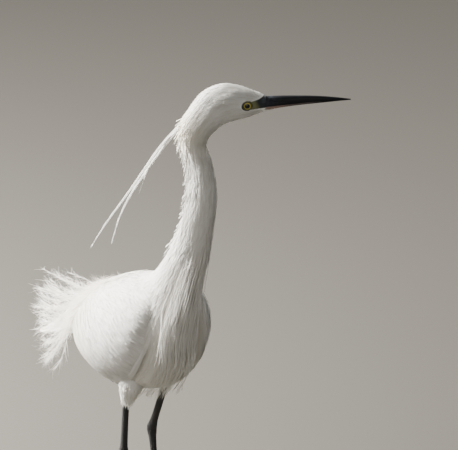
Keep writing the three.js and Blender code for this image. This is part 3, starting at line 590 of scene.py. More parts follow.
def addStudio():
    floor = Finish("studio floor", {"Specular IOR Level": 0.2})
    grain = floor.noise(floor.place(), 2.2)
    colour = floor.mix(grain * 0.4, backdrop["floor"], backdrop["far"])
    floor.paint({"Base Color": colour, "Roughness": 0.85 + grain * 0.1})
    mesh = bpy.data.meshes.new("floor")
    w = backdrop["halfWidth"]
    mesh.from_pydata([(-w, -w, 0), (w, -w, 0), (w, w, 0), (-w, w, 0)], [], [(0, 1, 2, 3)])
    mesh.materials.append(floor.material)
    ground = bpy.data.objects.new("floor", mesh)
    bpy.context.scene.collection.objects.link(ground)
    for name, lamp in lamps.items():
        light = bpy.data.lights.new(name, "AREA")
        light.shape, light.size = "DISK", lamp["size"]
        light.energy, light.color = lamp["power"], lamp["colour"]
        holder = bpy.data.objects.new(name, light)
        back = unit(np.array(lamp["toward"]))
        side = unit(np.cross((0, 0, 1), back))
        up = np.cross(back, side)
        seat = np.array(backdrop["aim"]) + back * lamp["reach"]
        holder.matrix_world = turned(side, up, back, seat)
        bpy.context.scene.collection.objects.link(holder)
    world = bpy.data.worlds.new("studio air")
    world.use_nodes = True
    air = world.node_tree.nodes["Background"].inputs
    air["Color"].default_value, air["Strength"].default_value = backdrop["air"], backdrop["airLight"]
    bpy.context.scene.world = world


addCamera()
addStudio()
print("camera, floor and light set")


# Skin, with the bare face round the eyes
face = {"lidRadius": 4.5, "lidHeight": 0.9, "opening": 3.85, "socket": 3.4,
        "gape": ((-23.5, -4.6), (1, -2.8)),
        "bodyRings": 150, "headRings": 175, "sides": 160, "underBill": ((0.25, 0.93), (2.5, 0.75))}
faceLook = {
    "olive": ((0.085, 0.095, 0.045, 1), (0.17, 0.175, 0.085, 1)), "grey": (0.15, 0.175, 0.21, 1),
    "dark": ((0.010, 0.011, 0.014, 1), (0.035, 0.042, 0.05, 1)), "lid": (0.22, 0.21, 0.08, 1),
    "rim": (0.03, 0.03, 0.024, 1), "gape": (0.008, 0.008, 0.01, 1),
}
loreTop = np.array([[-30, 3.5], [-14.5, 5.0], [-7, 6.6], [-3, 8.3], [-1.2, 9.6], [6, 12]])
loreBottom = np.array([[-30, -4.4], [-13, -4.2], [-1.4, -3.5], [6, -3]])
skinInset = np.array([[-1, 0.6], [0, 1.2], [2, 2.2], [7, 2.4], [9, 2], [12, 1.6], [14, 1.3], [17, 0.95],
                      [18.4, 0.5], [19, 0.1]])  # how deep the skin lies under the coat, by place


def onHead(points):  # along and up from the bill's root, and out to the side
    away = points - billRoot
    return away @ headForward, away @ headUp, away @ headLeft


def eyeReach(along, up):
    return np.hypot((along - eye["along"]) / 1.07, (up - eye["up"]) / 0.97)


def bareDepth(along, up):  # millimetres inside the edge of the bare face, negative where feathers grow
    lane = np.minimum(np.interp(along, *loreTop.T) - up, up - np.interp(along, *loreBottom.T))
    lane = np.where(along < -17, -5, lane)
    return np.maximum(lane, 5.9 - eyeReach(along, up))


def smooth(value, start, end):
    x = np.clip((value - start) / (end - start), 0, 1)
    return x * x * (3 - 2 * x)


def skinFinish():
    look = plumageLook
    f = Finish("skin and face", {"Specular IOR Level": 0.4})
    x, y, _ = f.map("face")
    bare, warmTintAndShade = f.mark("bare"), f.mark("warmTintAndShade")
    cloud = f.noise(f.place(), 60.0)
    pores = f.cells(f.place(), 1500.0)
    white = f.mix(cloud * 0.4, look["white"], look["shade"])
    # warm tan on the skin: partly its own tint, partly painted shade under the breast plumes
    white = f.mix(warmTintAndShade, white, look["warmTintAndShade"])
    reach = (((x - eye["along"]) * 0.93) ** 2 + ((y - eye["up"]) * 1.03) ** 2).root()
    olive = f.mix(cloud.step(0.3, 0.7), *faceLook["olive"])
    dark = f.mix(cloud, *faceLook["dark"])
    colour = f.mix((x + y * 0.5).step(-9.5, -4.5), olive, dark)
    grey = (x + y).step(-3.0, 1.0) * y.step(1.0, 3.5) * cloud.step(0.42, 0.62)
    colour = f.mix(grey * 0.4, colour, faceLook["grey"])
    colour = f.mix((0 - x - 0.4 * y).step(19.4, 21.0), colour, dark)
    lid = 1 - (reach - 4.0).size().step(0.15, 0.45)
    colour = f.mix(lid * 0.6, colour, faceLook["lid"])
    rim = reach.step(4.1, 4.4) * (1 - reach.step(4.9, 5.5))
    colour = f.mix(rim * 0.7, colour, faceLook["rim"])
    gape = 1 - (y + 2.95 - x * 0.077).size().step(0.25, 0.8)
    colour = f.mix(gape, colour, faceLook["gape"])
    f.paint({"Base Color": f.mix(bare, white, colour), "Roughness": 0.7 - bare * 0.28 + cloud * 0.08})
    f.bump(pores * 0.5 + cloud, 0.45, 0.0002)
    return f


def within(share):  # as degrees, with the far side of the seam kept just under a full turn
    return share * 360 - 1e-6 * (share >= 1)


def buildSkin():
    shape = Shape()
    rows = np.concatenate([np.linspace(-0.5, 12, face["bodyRings"]),
                           np.linspace(12.06, 19, face["headRings"])])
    turns = np.arange(face["sides"]) * 360 / face["sides"]
    place, turn = grid(rows, turns)
    rings = fleshPoint(place, turn, -np.interp(place, *skinInset.T))
    along, up, out = onHead(fleshPoint(place, turn, 0.0))
    bare = smooth(bareDepth(along, up), -0.3, 0.4) * (place > 15)
    rings += (fleshPoint(place, turn, -0.25) - rings) * bare[..., None]
    reach = eyeReach(along, up)
    near = (place > 15.5) & (place < 18.6)
    lid = face["lidHeight"] * np.exp(-((reach - face["lidRadius"]) / 0.8) ** 2)
    socket = -face["socket"] * (1 - smooth(reach, face["opening"] - 0.45, face["opening"] + 0.1))
    (x0, y0), (x1, y1) = face["gape"]
    line = y0 + (along - x0) * (y1 - y0) / (x1 - x0)
    groove = -0.55 * np.exp(-((up - line) / 0.45) ** 2) * (along > x0) * smooth(reach, 3.6, 4.6)
    rings += headLeft * (np.sign(out) * near * (lid + socket + groove * bare))[..., None]
    end = rings[-1] - rings[-1].mean(0)
    under = [billRoot + headForward * ahead + end * width for ahead, width in face["underBill"]]
    rings = np.concatenate([rings, under])
    rows = np.append(rows, (19, 19))

    def skinSpot(row, share):
        return fleshSpot(np.interp(row * (len(rows) - 1), np.arange(len(rows)), rows), within(share))
    points, blocks, maps = loft(rings, skinSpot)
    ahead, above, _ = onHead(points)
    ends = np.zeros(2 * len(turns) + 2)
    marks = {"bare": np.concatenate([bare.ravel(), ends[2:] + 1, [0.0, 1.0]]),
             "warmTintAndShade": np.concatenate([warmTintAndShadeAt(place, turn).ravel(), ends])}
    shape.add(points, blocks, {"OFBake": maps, "face": np.stack([ahead, above], -1)}, marks)
    for leg in legs.values():
        last, surface, spot = 5.6, thighSurface(leg), thighSpot(leg["side"])
        rings = surface(*grid(np.linspace(0, last, 24), np.arange(40) * 9.0), -1.6)
        points, blocks, maps = loft(rings, lambda row, share: spot(row * last, within(share)))
        ahead, above, _ = onHead(points)
        maps = {"OFBake": maps, "face": np.stack([ahead, above], -1)}
        shape.add(points, blocks, maps, {"bare": 0.0, "warmTintAndShade": 0.0})
    return shape.piece("skin", skinFinish(), "plumage", "torso", "neck_lower", "neck_middle", "neck_upper",
                       "head", "lores", "thigh_right", "thigh_left")


def warmTintAndShadeAt(place, turn):  # a warm tint on the nape and cheeks, and on the breast under its plumes, where it is partly the plumage's own tint and partly painted shade between the plumes
    place, front = np.asarray(place), 0.5 - 0.5 * np.cos(np.radians(turn))
    nape = np.exp(-((place - 13.2) / 1.1) ** 2) * (0.5 - 0.3 * front)
    # the breast term is partly a tint and partly painted shade between the breast plumes
    return nape + np.exp(-((place - 6.4) / 1.5) ** 2) * front ** 6 * 0.42


buildSkin()
print("skin built")


# Coat of body, neck, head and thighs
# Layers of a coat: spacing, length, width, rows, columns, lift of root and tip, crown
bodyCoat = {"feathers": ((5.2, 5.4), 24, 7.5, 5, 4, -1.9, -0.1, 0.45),
            "silk": ((3.6, 2.4), 26, 2.0, 5, 1, -1.0, 0.5, 0)}
neckCoat = {"spacing": (2.4, 1.3), "length": 15, "width": 1.9, "ragged": 5.5}
headCoat = {"spacing": (1.25, 0.95), "length": 6.6, "width": 1.35, "chin": 1.1}
thighCoat = {"spacing": (3.2, 2.4), "length": 14, "width": 3.0}


def shown(points):  # not on the bare face
    along, up, _ = onHead(points)
    return (bareDepth(along, up) < -0.35) | (along < -32)


def buildBodyCoat():
    shape = Shape()
    for spacing, length, width, rows, columns, base, tip, crown in bodyCoat.values():
        place, turn = scatter(fleshPoint, 0.35, 7.6, *spacing)
        a = np.abs((turn + 180) % 360 - 180)
        keep = (place > 4.8) | (a > 100) | ((place > 3.5) & (a < 20))  # not under the wings
        place, turn = place[keep], turn[keep]
        size = np.interp(place, [0, 2, 5, 7.5], [0.7, 1, 1, 0.8])
        lock = locks(place, turn, 0.4, 5)
        tip = tip + lock * 0.8 - 0.4 + rng.uniform(-0.3, 0.3, len(place))
        # the body coat carries the painted shadow of the crease in front of the wings' lower edges
        hug(shape, fleshPoint, fleshSpot, place, turn, length * size, width * size, base, tip, rows, columns,
            crown=crown, veer=8 * np.sin(np.radians(turn)) + 12 * lock - 6, fray=0.06,
            warmTintAndShade=warmTintAndShadeAt(place, turn), taper=leaf if columns > 1 else lance, tone=1 - lock, paintCreaseShadow=True)
    return shape.piece("bodyCoat", coatFinish, "plumage")


def buildNeckCoat():
    shape, c = Shape(), neckCoat
    place, turn = scatter(fleshPoint, 7.0, 13.6, *c["spacing"])
    back = 0.5 + 0.5 * np.cos(np.radians(turn))
    loose = (rng.uniform(0, 1, len(place)) < 0.4) & (place > 8.3)
    lock = locks(place, turn, 0.5, 7)
    tip = 0.9 * lock - 0.3 + loose * back ** 3 * c["ragged"] * rng.uniform(0.2, 1, len(place))
    length = c["length"] * np.interp(place, [7, 10, 13.6], [1.3, 1, 0.75])
    veer = rng.normal(0, 4 + 7 * loose * back, len(place)) + 10 * lock - 5
    hug(shape, fleshPoint, fleshSpot, place, turn, length, c["width"], -1.3, tip, 4, 1, veer=veer,
        taper=lance, fray=0.08, warmTintAndShade=warmTintAndShadeAt(place, turn), vary=0.25, tone=1 - lock)
    return shape.piece("neckCoat", coatFinish, "plumage")


def chinPoint(place, turn, lift=0.0):  # the underside of the bill, place in centimetres from its root
    place, turn, lift = alike(place, turn, lift)
    a = np.radians(turn)
    along = np.maximum(place * 10, -1.5)
    deep = np.interp(along, [0, 12, 28], [4.5, 3.7, 2.7]) + lift
    wide = np.interp(along, [0, 12, 28], [5.8, 4.8, 3.8]) * np.interp(along, [0, 9], [0.95, 0.6]) + lift
    return headPoint(along, np.sin(a) * wide, -2.9 + along * 0.08 - np.cos(a) * deep)


def buildHeadCoat():
    shape, c = Shape(), headCoat
    place, turn = scatter(fleshPoint, 13.2, 18.97, *c["spacing"])
    keep = shown(fleshPoint(place, turn))
    place, turn = place[keep], turn[keep]
    size = np.interp(place, [13, 15, 17.5, 19], [1.7, 1.3, 0.8, 0.5])
    lock = locks(place, turn, 0.8, 5)
    tip = (0.1 + 0.9 * lock) * size ** 1.5
    veer = rng.normal(0, 5, len(place)) + 14 * lock - 7
    hug(shape, fleshPoint, fleshSpot, place, turn, c["length"] * size, c["width"] * np.sqrt(size), -0.7, tip,
        3, 1, veer=veer, taper=lance, warmTintAndShade=warmTintAndShadeAt(place, turn), vary=0.2, tone=1 - lock)
    place, turn = scatter(chinPoint, 0.1, c["chin"], 1.1, 0.9, -80, 80)
    chinSpot = lambda place, turn: fleshSpot(0 * place + spineEnd, 180 + turn)
    hug(shape, chinPoint, chinSpot, place, turn, 3.6, 1.1, 0.1, 0.9, 3, 1, taper=lance)
    return shape.piece("headCoat", coatFinish, "plumage")


def buildThighCoat():
    shape, c = Shape(), thighCoat
    for leg in legs.values():
        surface, spot = thighSurface(leg), thighSpot(leg["side"])
        place, turn = scatter(surface, 0.6, 5.0, *c["spacing"])
        size = np.interp(place, [0, 3, 5], [1.2, 1, 0.62])
        loose = np.interp(place, [3.5, 5], [0, 1.0])
        tip = 0.4 + rng.uniform(-0.3, 0.5, len(place)) + loose * rng.uniform(0, 1, len(place))
        hug(shape, surface, spot, place, turn, c["length"] * size, c["width"] * size, -1.3, tip, 4, 2,
            backward=1, crown=0.2, taper=lance, fray=0.12, vary=0.25)
    return shape.piece("thighCoat", coatFinish, "plumage")


buildBodyCoat()
buildNeckCoat()
buildHeadCoat()
buildThighCoat()
print("body, neck, head and thighs feathered")


# The folded wings
# Coverts and silk as on the body, with the last place. Flight feathers: how many, first place, reach, the
# share of the fold they cover, width, lift of root and tip.
wingCoat = {
    "coverts": ((7, 6), 26, 9, 5, 4, -2.4, -0.2, 0.5, 5.2),
    "silk": ((3.2, 2.0), 38, 1.7, 6, 1, -1.0, 0.6, 0, 5.7),
    "primaries": (7, 5.3, 8.9, 0.12, 0.8, 13, -2.2, -0.4),
    "secondaries": (8, 3.6, 6.7, 0.03, 0.95, 17, -1.8, 0.0),
    "edgeFeathers": 4, "edgeWidth": 2.4, "rings": 60, "columns": 24, "outer": -1.6, "inner": -2.2,
}


def wingLie(turn):  # degrees a feather turns down from the body's axis
    return np.interp(np.abs(turn), [0, 20, 60, 100, 130], [0, 12, 34, 52, 60])


def flightFeathers(shape, side, count, start, reach, low, high, width, base, tip):
    share = (np.arange(count) + 0.5) / count
    place = start + rng.uniform(-0.05, 0.05, count)
    s = readRows(wingFold, place)
    turn = side * (s[:, 4] + (s[:, 5] - s[:, 4]) * (low + (high - low) * share))
    beyond = [*wingFold[:, 0], -190, -214]
    end = np.interp(reach - np.abs(share - 0.35) * 0.9, np.arange(len(beyond)), beyond)
    hug(shape, wingTop, wingSpot, place, turn, s[:, 0] - end, width, base, tip, 12, 4, crown=0.5,
        taper=roundVane, vary=0.02)


def buildWing(name, side):
    shape, c = Shape(), wingCoat
    row, share = grid(np.linspace(0, 7.4, c["rings"]), np.linspace(0, 1, c["columns"]))
    s = readRows(wingFold, row)
    turn = side * (s[..., 4] + (s[..., 5] - s[..., 4]) * share)
    deep = (s[..., 6] + c["inner"]) * (1 - smooth(share, 0.75, 0.97))  # thinner towards its lower edge
    inner = wingTop(row, turn, c["inner"] - deep)[:, ::-1]
    points, blocks, maps = loft(np.concatenate([wingTop(row, turn, c["outer"]), inner], 1))
    shape.add(points, blocks, {"OFBake": maps, "vane": np.zeros((len(points), 2))},
              {"tone": 0.5, "warmTintAndShade": 0.0})
    flightFeathers(shape, side, *c["primaries"])
    flightFeathers(shape, side, *c["secondaries"])
    for spacing, length, width, rows, columns, base, tip, crown, last in (c["coverts"], c["silk"]):
        place, turn = scatter(wingTop, 0.05, last, *spacing, 10, 140)
        s = readRows(wingFold, place)
        lower = s[:, 5] + 1 + 6 * (place < 1.5)
        rear = last - 0.8 + 0.8 * smooth(turn, 55, 105)
        keep = (turn > s[:, 4] - 8) & (turn < lower) & (place < rear)
        place, turn = place[keep], turn[keep]
        size = np.interp(place, [0, 1.5, 4.8], [0.7, 0.95, 1.1])
        sink = np.interp(place, [0, 1.6], [6, 0]) * (1 - smooth(turn, 70, 100))
        flare = smooth(turn - s[keep][:, 5], -16, -3) * smooth(place, 4.5, 2.5) * 2.2
        lock = locks(place, turn, 0.35, 4.5)
        tip = tip + flare + lock * 0.8 - 0.4 + rng.uniform(-0.5, 0.5, len(place))
        veer = side * (wingLie(turn) + rng.normal(0, 4, len(place)) + 10 * lock - 5)
        hug(shape, wingTop, wingSpot, place, side * turn, length * size, width * size ** 0.5, base - sink,
            tip, rows, columns, veer=veer, crown=crown, taper=leaf if columns > 1 else lance, fray=0.1,
            vary=0.22, tone=1 - lock, warmTintAndShade=0.4 * smooth(place, 3.4, 5.2))
    rank = np.arange(c["edgeFeathers"])[:, None]
    at = np.linspace(0, 1, 8)[None] * (2.2 - 0.2 * rank) + 0.08 + 0.15 * rank
    turn = side * (readRows(wingFold, at)[..., 5] + 0.5 - 1.6 * rank)
    paths = smoothPaths(wingTop(at, turn, 2.3 - 0.3 * rank), 24)
    outward = wingTop(at[:, :1], turn[:, :1], 1) - wingTop(at[:, :1], turn[:, :1], 0)
    ribbons(shape, paths, outward, c["edgeWidth"], wingSpot(at[:, 0], turn[:, 0]), taper=leaf, crown=0.25)
    return shape.piece(name, coatFinish, "plumage", "wing_right" if side < 0 else "wing_left")


buildWing("wingRight", -1)
buildWing("wingLeft", 1)
print("wings built")


# Loose plumes of back, breast and nape
backPlumes = {"fan": 96, "drooping": 58, "droop": (6, 42), "tip": (-206, 50, 222), "shaftWidth": 0.9,
              "barbs": {"gap": 2.4, "length": 26, "angle": 17, "width": 0.4, "start": 0.42, "warmTintAndShade": 0.5}}
# Each row of breast plumes: place, count, spread, end
breastPlumes = {"rows": ((8.35, 22, 40, 4.5), (7.9, 26, 46, 4.0), (7.45, 20, 46, 4.4)),
                "aside": (8, 11, 12, 8, 2), "gather": (1, 0.85, 0.62, 0.48, 0.32), "shaftWidth": 1.8,
                "barbs": {"gap": 4.5, "length": 17, "angle": 4, "width": 0.5, "start": 0.08, "curl": 0.4}}
napePlumes = {"seat": 13.05, "width": 3.4, "facings": ((0.8, -0.5, 0.5), (0.5, 0.8, 0.3)),
              "barbs": {"gap": 0.9, "length": 14, "angle": 2.2, "width": 0.5, "start": 0.03, "curl": 0.05,
                        "swell": lambda s: 1.3 - s},
              "paths": ((-5, ((-110, -50), (-139, -94), (-164, -130), (-177, -151))),
                        (6, ((-106, -50), (-134, -93), (-149, -123), (-157, -149))),
                        (1, ((-104, -47), (-120, -70), (-128, -92))))}


# Barbs on both sides of shafts
def feathery(shape, paths, spots, gap, length, angle, width, start=0.12, curl=4.0, swell=leaf,
             tone=None, warmTintAndShade=0.0):
    k = paths.shape[1]
    pace = np.linalg.norm(np.diff(paths, axis=1), axis=-1).sum(1)
    for i, path in enumerate(paths):
        n = 2 * max(int(pace[i] * (1 - start) / gap), 3)
        at = np.sort(rng.uniform(start, 1, n)) * (k - 1)
        low = np.minimum(at.astype(int), k - 2)
        part = (at - low)[:, None]
        roots = path[low] * (1 - part) + path[low + 1] * part
        along = unit(path[low + 1] - path[low])
        side = unit(np.cross(along, rng.normal(0, 0.35, (n, 3)) + (0, 0, 1)))
        way = np.where(rng.uniform(0, 1, n) < 0.5, -1, 1)[:, None]
        a = np.radians(angle * rng.uniform(0.55, 1.35, n))[:, None]
        ahead = along * np.cos(a) + side * way * np.sin(a)
        reach = length * (0.45 + 0.55 * swell(at / (k - 1))) * rng.uniform(0.6, 1.15, n)
        bend = rng.normal(0, curl, (n, 3)) - side * way * reach[:, None] * 0.12
        strands(shape, roots, ahead, bend, reach, width, np.repeat(spots[i:i + 1], n, 0),
                tone=None if tone is None else np.full(n, tone[i]), warmTintAndShade=warmTintAndShade * (1.2 - at / (k - 1)))


def buildBackPlumes():
    shape, c = Shape(), backPlumes
    n = c["fan"] + c["drooping"]
    fan = np.linspace(-1, 1, c["fan"])
    fan = np.append(np.sign(fan) * np.abs(fan) ** 0.8, np.linspace(-0.42, 0.42, c["drooping"]))
    fan = fan + rng.uniform(-0.02, 0.02, n)
    droop = np.append(np.zeros(c["fan"]), rng.uniform(*c["droop"], c["drooping"]))
    out = np.minimum(np.abs(fan), 1)
    layer = rng.uniform(0, 2, n)
    rootPlace = 4 - 0.7 * layer + rng.uniform(-0.15, 0.15, n)
    rootTurn = readRows(wingFold, rootPlace + 0.3)[:, 4] * 0.7
    lastPlace, lastTurn = 5.7 - 0.6 * out, 40 + 46 * out
    over = (rng.uniform(0, 1, n) < 0.3) & (out < 0.5)  # these start on the wings, the rest under their edges
    rise = np.where(over, 1.6, -1.2) + 0.4 * layer
    control = [wingTop(rootPlace, fan * rootTurn * 0.8, -2)]
    for share in (0, 0.25, 0.5, 0.75, 1):
        place = rootPlace + 0.3 + (lastPlace - rootPlace - 0.3) * share
        turn = fan * (rootTurn + (lastTurn - rootTurn) * share ** 1.2)
        free = (0.6 + 1.1 * layer - rise) * max(share - 0.5, 0) * 2
        control.append(wingTop(place, turn, rise + free))
    x, y, z = c["tip"]
    tip = np.stack([x + 92 * out ** 1.15 + 6 * layer + 0.2 * droop + rng.uniform(-3, 8, n),
                    y * np.sin(fan * np.pi / 2) + rng.uniform(-4, 4, n),
                    z - 66 * out ** 1.2 - 4 * layer - droop + rng.uniform(-5, 5, n)], -1)
    control += [tip + np.stack([50 - 34 * out, -3 * fan, 1 + 21 * out], -1), tip]
    paths = smoothPaths(np.stack(control, 1), 30)
    spots = wingSpot(rootPlace, fan * rootTurn)
    tone = rng.uniform(0, 1, n)
    ribbons(shape, paths, np.array([0.12, 0, 1.0]), c["shaftWidth"], spots, tone=tone, warmTintAndShade=0.22)
    feathery(shape, paths, spots, tone=tone, **c["barbs"])
    place, turn = scatter(wingTop, 1.2, 5.0, 3.0, 2.1, -52, 52)
    tip = 1.2 + rng.uniform(-0.5, 0.9, len(place)) - np.abs(turn) / 60
    veer = turn * 0.35 + rng.normal(0, 5, len(place))
    hug(shape, wingTop, wingSpot, place, turn, 38, 1.9, -1.2, tip, 6, 1, veer=veer, taper=lance,
        fray=0.08, vary=0.2)
    place, turn = scatter(wingTop, 1.0, 4.8, 7, 6, -36, 36)
    veer = rng.normal(0, 3, len(place))
    hug(shape, wingTop, wingSpot, place, turn, 26, 9, -3.4, -0.2, 5, 4, crown=0.5, veer=veer)
    return shape.piece("backPlumes", plumeFinish, "plumes", "back_plumes")


def buildBreastPlumes():
    shape, c = Shape(), breastPlumes
    for layer, (place, count, spread, reach) in enumerate(c["rows"]):
        fan = np.linspace(-1, 1, count) + rng.uniform(-0.03, 0.03, count)
        out = np.minimum(np.abs(fan), 1)
        turn = [180 + aside - fan * spread * gather for aside, gather in zip(c["aside"], c["gather"])]
        lift = 3.4 - 0.8 * layer + rng.uniform(-0.8, 1.8, count)
        rows = place + rng.uniform(-0.25, 0.25, count)
        last = reach + 0.3 * out + rng.uniform(-0.25, 0.3, count)
        turn[3] = turn[3] + rng.uniform(-3, 3, count)
        turn[4] = turn[4] + rng.uniform(-6, 6, count)
        control = [fleshPoint(rows, turn[0], -0.8), fleshPoint(rows - 0.5, turn[1], lift * 0.6),
                   fleshPoint(6.3, turn[2], lift + 1.2), fleshPoint(5.6, turn[3], lift + 2.6),
                   fleshPoint(last, turn[4], lift + rng.uniform(0, 7, count))]
        paths = smoothPaths(np.stack(control, 1), 20)
        spots = fleshSpot(rows, turn[0])
        facing = fleshPoint(rows, turn[0], 1) - fleshPoint(rows, turn[0], 0)
        ribbons(shape, paths, facing[:, None], c["shaftWidth"], spots)
        feathery(shape, paths, spots, **c["barbs"])
    return shape.piece("breastPlumes", plumeFinish, "plumes", "breast_plumes")


def buildNapePlumes():
    shape, c = Shape(), napePlumes
    spots = fleshSpot(np.array([c["seat"]]), np.array([0.0]))
    for i, (left, points) in enumerate(c["paths"]):
        points = np.array(points, float)
        drift = left * (np.arange(len(points)) + 1) / len(points)
        root = fleshPoint(c["seat"], 14 - 14 * i, -0.4)[None]
        control = np.concatenate([root, headPoint(points[:, 0], drift, points[:, 1])])
        paths = smoothPaths(control[None], 40)
        for facing in c["facings"]:
            ribbons(shape, paths, np.array(facing), c["width"], spots, taper=blade, crown=0.25, grain=0.12)
        feathery(shape, paths, spots, **c["barbs"])
    return shape.piece("napePlumes", plumeFinish, "plumes", "nape_plumes")


tailShape = {"root": (-124, 0, 180), "spread": 16, "drop": 13, "tiers": (  # count, length, width, rise
    (12, 56, 9.5, 0), (11, 47, 8.5, 1.5), (10, 38, 8, 2.4),
    (9, 27, 7.5, 3.2), (10, 40, 8.5, -1.5), (9, 30, 8, -2.4))}


def buildTail():
    shape, c = Shape(), tailShape
    x, _, z = c["root"]
    share, a = grid(np.linspace(0, 1, 16), circle(32))
    swell = np.sqrt(1 - (share * 0.97) ** 2)
    across = np.cos(a) * 9.4 * (0.2 + 0.8 * swell)
    points, blocks, maps = loft(np.stack(
        [x + 6 - 26 * share, across, z - 3 * share + np.sin(a) * 4.6 * swell], -1))
    shape.add(points, blocks, {"OFBake": maps, "vane": np.zeros((len(points), 2))},
              {"tone": 0.5, "warmTintAndShade": 0.0})
    for count, length, width, rise in c["tiers"]:
        spread = np.linspace(-1, 1, count)
        rank = (1 - np.abs(spread)) * 4.2 + 0.5 * (np.arange(count) % 2)
        reach = length / c["tiers"][0][1]
        root = np.stack([x - 6 + 0 * spread, spread * 7, z - 3 + rank * 0.6 + rise], -1)
        run = np.stack([-length + 7 * spread ** 2 + rng.uniform(-1.5, 1.5, count),
                        spread * c["spread"] * reach,
                        -c["drop"] * reach + rank * 0.4 - rise * 0.7], -1)
        tip = root + run
        paths = smoothPaths(np.stack([root, (root + tip) / 2 + (0, 0, 1.2), tip], 1), 12)
        facing = np.stack([0.1 + 0 * spread, spread * 0.35, 1 + 0 * spread], -1)[:, None]
        ribbons(shape, paths, facing, width, np.full((count, 2), 0.99), taper=roundVane, crown=0.12)
    return shape.piece("tailFeathers", tailFinish, "plumage", "tail")


buildBackPlumes()
buildBreastPlumes()
buildNapePlumes()
buildTail()
print("plumes and tail built")


# Eyes and bill
eyeLook = {"pupil": 2.4, "iris": 3.65, "black": ((0.004, 0.004, 0.004, 1), (0.012, 0.011, 0.01, 1)),
           "yellow": (0.62, 0.52, 0.11, 1), "edge": (0.42, 0.36, 0.09, 1), "inner": (0.09, 0.085, 0.03, 1)}
billLook = {"horn": ((0.006, 0.0065, 0.008, 1), (0.013, 0.014, 0.017, 1)), "edge": (0.30, 0.25, 0.23, 1),
            "grey": ((0.045, 0.055, 0.07, 1), (0.05, 0.06, 0.075, 1)),
            "pink": ((0.26, 0.15, 0.11, 1), (0.17, 0.11, 0.09, 1))}
# Along the bill: distance, top, where the halves meet, bottom, width
billProfile = np.array([[0, 7.3, -2.7, -7.2, 11.6], [12, 7.9, -1.6, -5.3, 9.6], [28, 8.1, -0.1, -2.8, 7.6],
                        [50, 7.9, 2, -0.4, 5.6], [70, 6.6, 3.2, 1.7, 3.8], [88, 4.5, 3.8, 3.5, 0.9]])


def eyeFinish():
    f = Finish("eye", {"Coat Weight": 0.3, "Coat Roughness": 0.03, "Roughness": 0.3,
                       "Specular IOR Level": 0.25})
    reach = f.mark("reach")
    x, _, _ = f.map("spokes")
    fibre = f.noise(f.place(), 900.0) * 0.5 + ((x * 52).sine() * 0.5 + 0.5) * 0.3
    iris = f.mix(fibre, eyeLook["yellow"], eyeLook["edge"])
    iris = f.mix(reach.step(eyeLook["pupil"], eyeLook["iris"] - 0.5), eyeLook["inner"], iris)
    dark = f.mix(fibre, *eyeLook["black"])
    inside = reach.step(eyeLook["pupil"] - 0.12, eyeLook["pupil"] + 0.12)
    beyond = reach.step(eyeLook["iris"] - 0.15, eyeLook["iris"] + 0.15)
    f.paint({"Base Color": f.mix(beyond, f.mix(inside, dark, iris), dark)})
    return f


def buildEye(name, side, finish, node):
    shape = Shape()
    polar, around = grid(np.linspace(0.01, math.pi - 0.01, 48), circle(64))
    centre, r = headPoint(eye["along"], side * eye["out"], eye["up"]), eye["radius"]
    ring = headForward * np.cos(around)[..., None] + headUp * np.sin(around)[..., None]
    rings = centre + r * (headLeft * side * np.cos(polar)[..., None] + ring * np.sin(polar)[..., None])
    points, blocks, maps = loft(rings)
    spokes = np.concatenate([np.stack([around, polar], -1).reshape(-1, 2), [[0, 0], [0, math.pi]]])
    reach = np.concatenate([np.where(polar < math.pi / 2, r * np.sin(polar), r).ravel(), [0.0, r]])
    shape.add(points, blocks, {"OFBake": maps, "spokes": spokes}, {"reach": reach})
    return shape.piece(name, finish, "eye", node)


def billFinish():
    f = Finish("bill", {"Coat Weight": 0.03, "Coat Roughness": 0.2, "Specular IOR Level": 0.12})
    x, y, _ = f.map("bill")
    lower = f.mark("lower")
    grain = f.noise(f.stretch(f.place(), (1, 1, 6)), 220.0)
    horn = f.mix(grain, *billLook["horn"])
    grey = f.mix(grain, *billLook["grey"])
    upper = f.mix((1 - x.step(2, 20)) * grain.step(0.35, 0.65) * 0.55, horn, grey)
    pink = f.mix(grain, *billLook["pink"])
    under = f.mix(1 - x.step(12, 30), horn, pink)
    edge = (1 - x.step(40, 62)) * y.step(0.4, 1.6) * 0.35
    under = f.mix(edge, under, billLook["edge"])
    f.paint({"Base Color": f.mix(lower, upper, under), "Roughness": 0.40 + grain * 0.14})
    f.bump(grain, 0.3, 0.00015)
    return f


def buildBill(name, upper, finish, node):
    shape = Shape()
    rows, curve = 90, 28
    place = np.linspace(0, 5, rows)
    s = readRows(billProfile, place)
    reach = (s[:, 1] if upper else s[:, 3]) - s[:, 2]
    lip = s[:, 2] + np.sign(reach) * 0.15
    turn = np.linspace(0, math.pi, curve + 1)
    out = np.cos(turn)[None] * (s[:, 4:5] / 2)
    height = np.sin(turn)[None] ** 0.8 * np.maximum(np.abs(reach) - 0.15, 0.35)[:, None]
    up = lip[:, None] + np.sign(reach)[:, None] * height
    along = np.broadcast_to(s[:, :1] + 0.3, up.shape)
    if upper:
        groove = np.exp(-((up - 2.7) / 0.75) ** 2) * np.exp(-((along - 13.5) / 6.5) ** 4)
        out = out * (1 - 0.16 * groove)
    flat = np.linspace(-1, 1, 6)[None, 1:-1] * (s[:, 4:5] / 2)
    out = np.concatenate([out, flat], 1)
    up = np.concatenate([up, np.repeat(lip[:, None], 4, 1)], 1)
    along = np.broadcast_to(s[:, :1] + 0.3, up.shape)
    points, blocks, maps = loft(headPoint(along, out, up))
    a, b, _ = onHead(points)
    maps = {"OFBake": maps, "bill": np.stack([a, b - np.interp(a, s[:, 0], s[:, 3])], -1)}
    shape.add(points, blocks, maps, {"lower": 0.0 if upper else 1.0})
    return shape.piece(name, finish, "bill", node)


eyes = eyeFinish()
buildEye("eyeRight", -1, eyes, "eye_right")
buildEye("eyeLeft", 1, eyes, "eye_left")
horn = billFinish()
buildBill("billUpper", True, horn, "bill_upper")
buildBill("billLower", False, horn, "bill_lower")
print("eyes and bill built")


